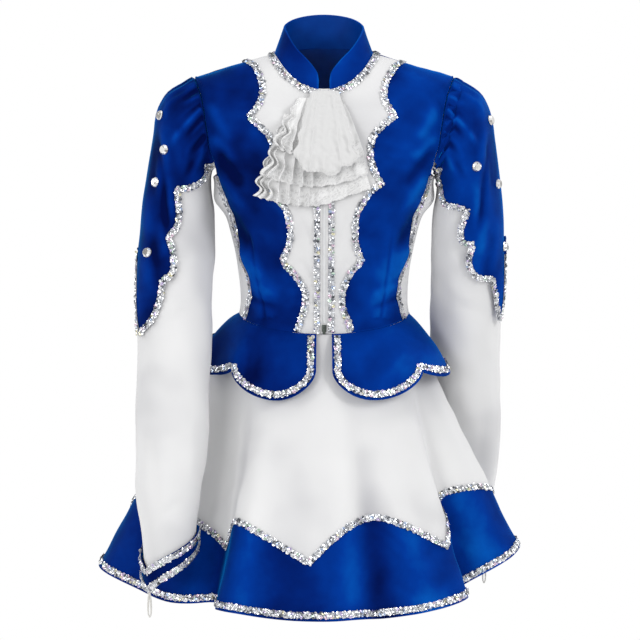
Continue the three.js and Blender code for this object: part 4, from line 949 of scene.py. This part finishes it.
# ------------------------------------------------------------------------ sleeves
# Long white set-in sleeves on arms that hang a little apart, with a velvet upper piece that is
# gathered into the armhole and cut to a jagged edge, and pointed velvet cuffs.
SLEEVE = {
    "ring": [0, 1, 2, 3, 4, 5, 6, 7, 8, 9, 10, 11, 12, 13],
    "out_x": [170, 184, 205, 219, 228, 236, 243, 248, 249, 249, 249, 247, 240, 236],
    "out_z": [-34, -42, -55, -80, -120, -170, -232, -300, -380, -460, -530, -585, -638, -706],
    "in_x": [149, 150, 150, 149, 147, 147, 148, 149, 149, 151, 153, 161, 168, 171],
    "in_z": [-160, -170, -180, -193, -210, -236, -272, -320, -386, -458, -524, -580, -632, -700],
    "depth": [44, 51, 56, 57, 56, 54, 52, 50, 48, 47, 45, 41, 37, 35],
}
HANG = {"right": {"out": -3, "swing": -150, "lift": 20}, "left": {"out": -4, "swing": 76, "lift": 4}}
ARMHOLE_GAP = 1.1
HEAD_SINK = 2.5
# Lower edge of the velvet upper piece in the front view, from the armhole to its point.
OVERSLEEVE = {
    "right": {"across": [154, 160, 171, 193, 191, 190, 194, 203, 197, 197, 209, 211, 221, 238],
              "height": [-143, -161, -173, -178, -196, -213, -228, -239, -256, -284, -293, -316, -341, -362],
              "point": [0, 0, 0, 1, 0, 0, 0, 1, 0, 0, 1, 0, 0, 0]},
    "left": {"across": [151, 157, 161, 175, 188, 181, 183, 196, 192, 203, 223, 227, 230, 234],
             "height": [-148, -176, -196, -200, -206, -230, -247, -251, -277, -296, -300, -318, -337, -359],
             "point": [0, 0, 0, 0, 1, 0, 0, 1, 0, 0, 1, 0, 0, 0]},
}
CUFF = {"point_at": 40, "upper": 11.94, "upper_point": 12.6, "lower": 12.32, "lower_point": 13.08}
HEAD_GATHERS = 22
GATHER_HEIGHT = 1.7
BOTTOM_SCOOP = 0.17
OVER_LIFT = 1.5 + VELVET_WALL


def sleeve_surface(side, sign):
    hang = HANG[side]
    away = np.linspace(0, 360, 145)
    wrapped = np.abs((away + 180) % 360 - 180)
    is_back = ((away + 180) % 360 - 180) < 0
    height = -95 + 63 * np.cos(np.radians(np.minimum(wrapped, 150)))
    turn, ring = on_front(sign * read(OUTER_EDGE, "height", "across", height), height)
    under = np.clip((wrapped - 150) / 30, 0, 1)
    turn = mix(turn, sign * 90, under)
    ring = ring - ARMPIT_SCOOP * np.sin(under * np.pi / 2)
    turn = np.where(is_back, sign * 180 - turn, turn)
    normal = unit(normals_of(bodice, turn, ring) * (0, 1, 1))
    armhole = bodice(turn, ring) - normal * (HEAD_SINK * (1 - under))[:, None]
    armhole += np.stack([np.full(under.shape, sign * ARMHOLE_GAP), 0 * under, 1.6 * under], -1)

    def plain(angle, ring):
        size = {name: read(SLEEVE, "ring", name, ring) for name in SLEEVE if name != "ring"}
        swung, cosine = ease(3.4, 12, ring), (1 + np.cos(np.radians(angle))) / 2
        return np.stack([
            sign * (mix(size["in_x"], size["out_x"], cosine) + hang["out"] * ease(2, 7, ring)),
            hang["swing"] * swung - size["depth"] * np.sin(np.radians(angle)),
            mix(size["in_z"], size["out_z"], cosine) + hang["lift"] * swung,
        ], -1)

    def surface(angle, ring):
        angle, ring = paired(angle, ring)
        spot = np.mod(angle, 360) / 2.5
        index = np.minimum(spot.astype(int), 143)
        edge = mix(armhole[index], armhole[index + 1], (spot - index)[..., None])
        fade = np.maximum(1 - ring / 1.6, 0) ** 2
        return plain(angle, ring) + (edge - plain(angle, 0 * ring)) * fade[..., None]

    return surface


sleeve_surfaces = {side: sleeve_surface(side, sign) for side, sign in SIDES}


# Points at a lift above a sleeve, and the outward normals there.
def on_sleeve(side, angle, ring, lift=OVER_LIFT):
    angle, ring = paired(angle, ring)
    surface = sleeve_surfaces[side]
    normal = normals_of(surface, angle, ring, dict(SIDES)[side])
    return surface(angle, ring) + normal * np.broadcast_to(lift, ring.shape)[..., None], normal


def find_on_sleeve(side, across, height):
    sign, surface = dict(SIDES)[side], sleeve_surfaces[side]
    angles, rings = np.meshgrid(np.arange(5, 180, 5.0), np.arange(0.25, 13, 0.25))
    points = surface(angles, rings)
    across, height = np.asarray(across, float), np.asarray(height, float)
    miss = np.hypot(points[..., 0].ravel() - sign * across[..., None], points[..., 2].ravel() - height[..., None])
    best = miss.argmin(-1)
    angle, ring = locate(surface, sign * across, height, angles.ravel()[best], rings.ravel()[best])
    return np.clip(angle, 2, 178), np.clip(ring, 0.02, 13)


# A path through a table of front-view points, curved between its sharp points.
def scalloped(table, count):
    across, height = np.array(table["across"], float), np.array(table["height"], float)
    length = run_length(np.stack([across, height], -1))
    both = {"length": length, "across": across, "height": height, "point": table["point"]}
    at = np.union1d(np.linspace(0, length[-1], count), length)
    return read(both, "length", "across", at, "point"), read(both, "length", "height", at, "point")


def cuff_edge(angle, level, point):
    away = np.abs((angle - CUFF["point_at"] + 540) % 360 - 180) / 150
    return mix(point, level, np.minimum(away, 1) ** 0.8)


# Uneven gathers round the sleeve head, deepest just off the armhole seam.
def gather(angle, ring):
    warped = angle + 3.5 * np.sin(np.radians(angle * 2.7)) + 2.2 * np.sin(np.radians(angle * 6.1 + 40))
    fold = ((1 + np.cos(np.radians(warped * HEAD_GATHERS * 1.3))) / 2) ** 1.4
    long = 1 + 0.45 * np.sin(np.radians(angle * 5)) + 0.25 * np.sin(np.radians(angle * 13))
    swell = ease(0.05, 0.4, ring) * (1 - ease(0.6, 2.6 * long, ring))
    wrapped = np.abs((angle + 180) % 360 - 180)
    return GATHER_HEIGHT * fold * swell * (1 - ease(98, 126, wrapped))


# Clear stones with a silver back, whose facets carry painted reflections: each a random shade from dark to near
# white, flecked with small painted glints.
def crystal_material():
    material = surface_material("cut_crystal", Metallic=0.55, Roughness=0.1, Coat_Weight=1.0, Coat_Roughness=0.03)
    inner = texture(material, "Voronoi", "Distance", Scale=420)
    painted_reflection_tone = maths(material, "MULTIPLY_ADD", inner, 0.35, attribute(material, "facet_reflection"))
    return finish(material, colour_ramp(material, painted_reflection_tone, (0, (0.07, 0.065, 0.06)), (0.5, (0.46, 0.44, 0.42)),
                                        (1, (0.98, 0.97, 0.95))))


crystal = crystal_material()
# A stone's radius, and the heights above its ball's middle of its flat back and its flat top.
STONE = {"radius": 7.0, "back": 1.2, "top": 5.6}
# Places of the stones in the front view: across and height.
STONES = {
    "right": ([212, 206, 219, 228], [-83, -126, -169, -259]),
    "left": ([217, 198, 229, 240], [-89, -147, -173, -259]),
}
SLEEVE_CREASES = [
    ((168, -250), (214, -300), -2.4, 8), ((160, -300), (206, -338), 2.0, 10), ((172, -330), (232, -352), -2.2, 7),
    ((232, -400), (184, -452), -1.8, 12), ((165, -430), (172, -560), 1.8, 9), ((222, -470), (214, -590), -1.8, 10),
    ((176, -560), (228, -600), -1.6, 7), ((236, -610), (178, -632), 1.6, 6),
]
# Folds that run down from the gathers: start, end, rise, width, and the fade at both ends.
HEAD_CREASES = [
    ((159, -36), (196, -53), 2.6, 3.6, (0.1, 0.6)), ((162, -46), (188, -62), -1.6, 3.0, (0.1, 0.6)),
    ((161, -56), (190, -69), 2.4, 3.2, (0.1, 0.6)), ((160, -65), (184, -82), -1.8, 3.2, (0.1, 0.6)),
    ((160, -71), (191, -104), 3.4, 3.8, (0.1, 0.4)), ((187, -98), (202, -124), 3.0, 4.6, (0.3, 0.6)),
    ((156, -80), (186, -114), -2.6, 3.8, (0.1, 0.5)), ((157, -88), (178, -109), 2.2, 3.0, (0.1, 0.6)),
    ((155, -104), (174, -132), -1.8, 4.0, (0.1, 0.5)), ((156, -118), (174, -163), 2.4, 4.2, (0.2, 0.5)),
    ((168, -136), (186, -168), -2.0, 5.0, (0.3, 0.5)), ((203, -50), (211, -92), 2.0, 5.0, (0.3, 0.3)),
    ((211, -84), (214, -186), 2.4, 5.5, (0.3, 0.4)), ((222, -96), (224, -200), -2.2, 6.0, (0.3, 0.4)),
    ((204, -130), (206, -200), -1.8, 6.0, (0.4, 0.4)), ((236, -200), (222, -300), 1.8, 8.0, (0.3, 0.3)),
    ((217, -100), (205, -245), -2.8, 4.0, (0.2, 0.3)), ((208, -104), (197, -240), 2.2, 5.0, (0.2, 0.3)),
    ((214, -210), (206, -270), 1.6, 7.0, (0.3, 0.3)), ((228, -230), (214, -310), -1.6, 7.0, (0.3, 0.3)),
]
# The same folds behind, a little lower, nearer the body and shallower.
HEAD_CREASES_BACK = [((x1 - 3, z1 - 7), (x2 - 3, z2 - 7), 0.85 * rise, width, fade)
                     for (x1, z1), (x2, z2), rise, width, fade in HEAD_CREASES]
for side, sign in SIDES:
    # the white sleeve, down to the cuff's lower edge
    angles = np.arange(0, 360, 4.0)[None, :]
    rings = cuff_edge(angles, CUFF["lower"], CUFF["lower_point"]) * np.linspace(0, 1, 120)[:, None]
    rows, _ = on_sleeve(side, angles, rings, -2.3 * (1 - ease(0.1, 0.7, rings)) - 0.9 * np.minimum(rings, 1))
    heart = rows.mean(1, keepdims=True)
    in_front = np.where(rows[..., 1] < HANG[side]["swing"] * ease(3.4, 12, 7), -1, 1)
    line = np.stack([np.abs(rows[..., 0]), in_front, rows[..., 2]], -1)
    fold = (uneven(rows, 90, 1.3, 91 + sign) + uneven(rows, 34, 0.4, 92 + sign)
            + creases(line, SLEEVE_CREASES) + 0.8 * creases(line, SLEEVE_CREASES, front=False))
    fold = fold * ease(3.0, 7.0, rings) * (1 - ease(11, 12, rings))
    rows = lifted(rows, fold, heart, True)
    white = cloth(f"white_sleeve_{side}", rows, KNIT_WALL, knit, f"sleeve_{side}", heart, True)

    # the velvet upper piece, with the long folds that run down from its gathers
    angle, ring = find_on_sleeve(side, *scalloped(OVERSLEEVE[side], 96))
    head = np.linspace(0, 1, 22)[:-1]
    span = np.concatenate([mix(140, angle[0], head), angle])[:, None]
    low = np.concatenate([mix(0.01, ring[0], head), ring])[:, None]
    columns = np.linspace(0, 1, 180)[None, :]
    ramp = np.concatenate([0 * head, np.linspace(0, 1, len(ring))])[:, None] ** 2
    rings = mix(0.01, low, 1 - BOTTOM_SCOOP * np.sin(np.pi * columns) ** 2 * ramp)
    angles = mix(span, -span, columns)
    gathers = gather(angles, rings)
    rows, _ = on_sleeve(side, angles, rings, mix(0.3, OVER_LIFT, ease(0, 0.16, rings)) + gathers)
    heart = (sleeve_surfaces[side](0 * rings, rings) + sleeve_surfaces[side](0 * rings + 180, rings)) / 2
    line = rows * (sign, 1, 1)
    fold = (uneven(rows, 50, 0.9, 95 + sign) * ease(1, 3, rings) + creases(line, HEAD_CREASES)
            + creases(line, HEAD_CREASES_BACK, front=False)) * ease(0.02, 0.3, rings)
    fold = np.maximum(fold, -2.0)
    rows = lifted(rows, fold, heart)
    # Painted light on the velvet upper piece: a painted highlight on the ridges of its folds and gathers, and painted
    # shade in the gathers' troughs and just below the armhole seam.
    fold = 1.1 * fold + 0.75 * (gathers - 1.6 * ease(0, 0.3, rings) * (1 - ease(0.8, 2.4, rings)))
    upper = cloth(f"velvet_upper_sleeve_{side}", rows, VELVET_WALL, velvet, f"oversleeve_{side}",
                  heart, fold=fold)

    # its trim, down the jagged front edge, round the bottom and up the back edge
    bottom = np.linspace(angle[-1], -angle[-1], 80)[1:-1]
    middle = np.sin(np.pi * np.linspace(0, 1, 80)[1:-1]) ** 2
    path_angle = np.concatenate([angle, bottom, -angle[::-1]])
    path_ring = np.concatenate([ring, mix(0.14, ring[-1], 1 - BOTTOM_SCOOP * middle), ring[::-1]])
    sequin_trim(f"jagged_sleeve_trim_{side}", *on_sleeve(side, path_angle, path_ring), [upper, white],
                f"oversleeve_trim_{side}", 371 + sign, least=-0.5)

    # cut stones sewn to the velvet upper piece: a faceted dome on a flat back
    for order, (across, height) in enumerate(zip(*STONES[side])):
        spot = find_on_sleeve(side, np.array([across]), np.array([height]))
        seat, facing = settle(trees_of([upper]), *on_sleeve(side, *spot))
        bpy.ops.object.select_all(action="DESELECT")
        bpy.ops.mesh.primitive_uv_sphere_add(segments=12, ring_count=8, radius=STONE["radius"] / 1000)
        gem = bpy.context.object
        gem.name = f"cut_stone_{side}_{order + 1}"
        bpy.ops.object.mode_set(mode="EDIT")
        for level, inner, outer in ((STONE["back"], True, False), (STONE["top"], False, True)):
            bpy.ops.mesh.select_all(action="SELECT")
            bpy.ops.mesh.bisect(plane_co=(0, 0, level / 1000), plane_no=(0, 0, 1), clear_inner=inner,
                                clear_outer=outer, use_fill=True)
        bpy.ops.object.mode_set(mode="OBJECT")
        gem.location = (0, 0, -STONE["back"] / 1000)
        bpy.ops.object.transform_apply(location=True, rotation=False, scale=False)
        gem.rotation_euler = Vector(facing[0]).to_track_quat("Z", "Y").to_euler()
        gem.location = Vector((seat[0] + facing[0] * 0.3) / 1000)
        bpy.ops.object.transform_apply(location=True, rotation=True, scale=False)
        gem.data.materials.append(crystal)
        # Each facet gets a painted reflection, a random shade from dark to near white.
        chance = np.random.default_rng(401 + 10 * order + sign)
        painted_reflections = chance.choice([0.16, 0.34, 0.52, 0.70, 0.86, 1.0], size=len(gem.data.polygons),
                               p=[0.14, 0.18, 0.2, 0.2, 0.16, 0.12])
        gem.data.attributes.new("facet_reflection", "FLOAT", "FACE").data.foreach_set("value", painted_reflections)
        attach(gem, "root")
        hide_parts(f"stone_{side}_{order + 1}")

    # the cuff and the trims along its two edges
    angles = np.arange(0, 360, 2.5)[None, :]
    rings = mix(cuff_edge(angles, CUFF["upper"], CUFF["upper_point"]),
                cuff_edge(angles, CUFF["lower"], CUFF["lower_point"]), np.linspace(0, 1, 16)[:, None])
    rows, _ = on_sleeve(side, angles, rings)
    rows = lifted(rows, uneven(rows, 30, 0.35, 97), rows.mean(1, keepdims=True), True)
    piece = cloth(f"velvet_cuff_{side}", rows, VELVET_WALL, velvet, f"cuff_{side}",
                  rows.mean(1, keepdims=True), True)
    around = np.linspace(0.6, 359.4, 200)
    for level, shift in (("upper", 0.07), ("lower", -0.07)):
        path = on_sleeve(side, around, cuff_edge(around, CUFF[level], CUFF[f"{level}_point"]) + shift)
        sequin_trim(f"cuff_{level}_edge_trim_{side}", *path, [piece, white], f"cuff_{level}_trim_{side}",
                    381 + sign, TWO_ROWS, -0.5)

# ------------------------------------------------------------------------ jabot
# Sheer white jabot under the collar: three gathered tiers whose left sides fall in tight curls, a
# smooth panel over their middle, and lace along every edge.
# Lace whose open net along its edging is painted darker, painted shade of what lies behind the holes, while its
# threads and petals keep the lace's white.
def lace_material(name, white, shade_in_holes):
    material = surface_material(name, Roughness=0.7, Specular_IOR_Level=0.3, Sheen_Weight=0.2)
    net = texture(material, "Voronoi", "Distance", "UV", Scale=900)
    motif = texture(material, "Voronoi", "Distance", "UV", feature="DISTANCE_TO_EDGE", Scale=190)
    bloom = texture(material, "Noise", "Fac", "UV", Scale=130, Detail=2, Distortion=1.2)
    threads = colour_ramp(material, motif, (0.03, (1, 1, 1)), (0.16, (0, 0, 0)))
    petals = maths(material, "GREATER_THAN", bloom, 0.52)
    open_net = maths(material, "SUBTRACT", 1.0, maths(material, "MAXIMUM", threads, petals))
    holes = maths(material, "MULTIPLY", open_net, attribute(material, "fold"))
    colour = colour_ramp(material, holes, (0, [white] * 3), (1, [shade_in_holes] * 3))
    return finish(material, colour, maths(material, "MULTIPLY_ADD", holes, -3.0, net), 0.35, 0.0004)


# The tiers' lace is painted lighter, against the shade that the panel casts on them, and the panel's voile is painted
# darker.
lace, voile = lace_material("white_lace", 0.75, 0.61), lace_material("white_voile", 0.59, 0.53)
# Heights and half widths of each tier, and how far it stands off the chest at its top and bottom.
JABOT = {
    "lower": {"top": -112, "bottom": -192, "top_half": 50, "bottom_half": 71, "centre": -13, "waves": 11,
              "lead": 3.6, "grow": 5.6, "curl": 5.0, "drop": -9, "flat": (0.19, 0.085)},
    "middle": {"top": -80, "bottom": -168, "top_half": 42, "bottom_half": 62, "centre": -9, "waves": 9,
               "lead": 3.6, "grow": 12.4, "curl": 5.2, "drop": 0, "flat": (0.16, 0.092)},
    "upper": {"top": -58, "bottom": -134, "top_half": 28, "bottom_half": 54, "centre": -6, "waves": 8,
              "lead": 1.8, "grow": 20.0, "curl": 5.2, "drop": 12, "flat": (0.13, 0.08)},
    "front": {"top": -50, "bottom": -157, "top_half": 17, "bottom_half": 38, "centre": 1, "waves": 4.5,
              "lead": 4.9, "grow": 29.0, "curl": 2.4, "drop": 0, "flat": (0.085, 0.11)},
}
v = np.linspace(0, 1, 40)[:, None]
for order, (name, tier) in enumerate(JABOT.items()):
    u = np.linspace(-1, 1, int(24 * tier["waves"]))[None, :]
    panel = 1 if name == "front" else 0
    turn = 2 * np.pi * tier["waves"] * ((u + 1) / 2) ** (1.0 if panel else 0.72) + 0.9 * np.sin(5 * u + order)
    loose = 0.4 if panel else mix(1.0, 0.3, ease(-0.45, 0.35, u))
    half = mix(tier["top_half"], tier["bottom_half"], v**0.8)
    left, right = ease(-0.5, -0.95, u) * (1 - panel), ease(0.0, 0.8, u) * (1 - panel)
    across = (tier["centre"] + half * u + 3.0 * loose * v**1.2 * np.cos(turn)
              - 4.6 * left * v**0.6 * np.sin(2 * np.pi * (3.0 * v + 0.3 * order))
              + panel * 2.4 * np.abs(u) ** 3 * np.sin(2 * np.pi * (4.3 * v + 0.2 * np.sign(u))) * v)
    fall = ((tier["bottom"] - tier["top"] - tier["drop"] * right) * v * (1 - 0.16 * u**2)
            - 3.2 * loose * v * (1 + np.cos(turn + 0.7)) / 2
            - 1.3 * v**8 * np.abs(np.sin(np.pi * u * tier["bottom_half"] / 3.4))
            - panel * 2.5 * v**3 * np.sin(2.6 * np.pi * u))
    out = (tier["lead"] + tier["grow"] * v + (0.35 + tier["curl"] * loose * v**1.2) * np.sin(turn)
           + 3.4 * left * v**0.6 * np.sin(2 * np.pi * (3.2 * v + 0.25 * order)))
    points, normal = on_bodice(*on_front(across, tier["top"] + fall))
    rows = points + normal * out[..., None]
    crinkle = (uneven(rows, 30, 0.5, 501 + order)
               + uneven(rows * (1, 1, 1.5), 12, 1.0 if panel else 0.4, 511 + order))
    rows = rows + np.array([0, -1, 0]) * crinkle[..., None]
    edging = ease(0.95, 0.97, v) if panel else np.maximum(ease(0.74, 0.80, v), ease(-0.80, -0.88, u))
    piece = cloth("jabot_panel" if panel else f"jabot_{name}_tier", rows, 0.6, voile if panel else lace,
                  f"jabot_{name}", np.array([0, 60, -150]), fold=3 * edging * np.ones(out.shape))

# ------------------------------------------------------------------------ finger loops
# A loop of narrow elastic sewn inside each cuff's point, to hold the sleeve over the hand.
def elastic_material():
    material = surface_material("woven_elastic", Roughness=0.85)
    weave = texture(material, "Wave", Scale=700, Distortion=1.0, Detail=1)
    colour = colour_ramp(material, weave, (0, (0.48, 0.47, 0.44)), (1, (0.72, 0.71, 0.68)))
    return finish(material, colour, weave, 0.3, 0.0003)


elastic = elastic_material()
LOOP = {"length": 37, "half_width": 4, "thickness": 2.5, "width": 3.0}
turn = np.linspace(0, 2 * np.pi, 49)[:-1]
down = (1 - np.cos(turn)) / 2
for side, sign in SIDES:
    top = on_sleeve(side, np.array([CUFF["point_at"]]), np.array([CUFF["lower_point"]]), 0.45)[0][0]
    across = np.sin(turn) * LOOP["half_width"] * (0.5 + 0.5 * down)
    middle = top + np.stack([across, 0 * down, 0.2 - LOOP["length"] * down], -1)
    outward = np.stack([np.sin(turn), 0 * turn, np.cos(turn)], -1)
    depth = LOOP["thickness"] * (1 - np.cos(RIM)) / 2
    points = (middle[:, None] - outward[:, None] * depth[None, :, None]
              + np.array([0, LOOP["width"] / 2, 0]) * np.sin(RIM)[None, :, None])
    index = np.arange(len(turn) * 8).reshape(-1, 8)
    corners = quads(np.pad(index, ((0, 1), (0, 1)), mode="wrap"))
    faces = np.stack([corner.ravel() for corner in corners], -1).tolist()
    loop = closed_shape(f"elastic_loop_{side}", points, faces, elastic)
    bpy.ops.object.shade_smooth()
    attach(loop, "root")
    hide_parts(f"finger_loop_{side}")

# ------------------------------------------------------------------------ zip
# Coil zip down the centre front: two woven tapes, interlocked teeth and a closed slider with its
# pull at the waist.
def plastic_material():
    material = surface_material("zip_plastic", Roughness=0.4)
    return finish(material, grained(material, 300, 2, (0.72, 0.73, 0.74), (0.84, 0.84, 0.85)))


def slider_material():
    material = surface_material("zip_metal", Metallic=0.9, Roughness=0.35)
    return finish(material, grained(material, 240, 3, (0.035, 0.045, 0.04), (0.15, 0.17, 0.155)))


rings = np.linspace(9, 0.03, 120)[:, None]
turns = zip_turn(np.linspace(-1, 1, 13)[None, :] * ZIP_TAPE, rings)
rows, _ = body_rows(turns, np.broadcast_to(rings, turns.shape), lambda rows: 0.12 * np.cos(rows[..., 0] * 4))
tape = cloth("zip_tapes", rows, 1.0, knit, "zip_tape")

# the teeth, in turn from the left and the right, each a block that narrows in two steps
TOOTH = {"pitch": 0.75, "offset": 0.55, "half_length": 1.25, "half_width": 0.46}
TOOTH_LAYERS = ((0.2, 1.0), (1.25, 0.82), (1.55, 0.5))
path_rings = np.linspace(8.4, 0.66, 400)
length = run_length(bodice(0, path_rings))
ring = np.interp(np.arange(0.6, length[-1], TOOTH["pitch"]), length, path_rings)
spot, normal = on_bodice(0 * ring, ring)
way = unit(np.cross(normal, [1, 0, 0]))
vertices, faces = [], []
for index in range(len(ring)):
    centre = spot[index] + np.array([TOOTH["offset"] * (1 if index % 2 else -1), 0, 0])
    for lift, shrink in TOOTH_LAYERS:
        for x, y in ((-1, -1), (1, -1), (1, 1), (-1, 1)):
            vertices.append(centre + np.array([x * TOOTH["half_length"] * shrink, 0, 0])
                            + way[index] * y * TOOTH["half_width"] * shrink + normal[index] * lift)
    first = 12 * index
    faces += [[first + 3, first + 2, first + 1, first], [first + 8, first + 9, first + 10, first + 11]]
    for low in (first, first + 4):
        for k in range(4):
            following = (k + 1) % 4
            faces.append([low + k, low + following, low + 4 + following, low + 4 + k])
teeth = closed_shape("zip_teeth", vertices, faces, plastic_material())
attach(teeth, "root")
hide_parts("zip_chain")

# the slider's body, its bridge and its pull, joined as one piece: size, place along the zip,
# lift and rounding of each
foot, foot_normal = on_bodice(0.0, 0.12)
up = unit(bodice(0, 0.62) - foot)
metal = slider_material()
parts = []
for size, along, lift, round_edge in (
    ((6.2, 9.4, 2.2), 4.7, 1.7, 0.9), ((2.0, 6.4, 1.2), 4.9, 3.1, 0.5), ((4.0, 9.0, 0.9), 1.4, 3.9, 0.4),
):
    bpy.ops.object.select_all(action="DESELECT")
    bpy.ops.mesh.primitive_cube_add(size=0.001)
    block = bpy.context.object
    block.scale = size
    bpy.ops.object.transform_apply(location=False, rotation=False, scale=True)
    soft = block.modifiers.new("edges", "BEVEL")
    soft.width, soft.segments = round_edge / 1000, 3
    bpy.ops.object.modifier_apply(modifier="edges")
    block.rotation_euler = Vector(foot_normal).to_track_quat("Z", "Y").to_euler()
    block.location = Vector((foot + up * along + foot_normal * lift) / 1000)
    bpy.ops.object.transform_apply(location=True, rotation=True, scale=False)
    block.data.materials.append(metal)
    parts.append(block)
slider = parts[0]
select_only(slider)
for block in parts[1:]:
    block.select_set(True)
bpy.ops.object.join()
slider.name = "zip_slider_and_pull"
bpy.ops.object.shade_smooth_by_angle(angle=math.radians(35))
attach(slider, "root")
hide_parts("zip_slider")
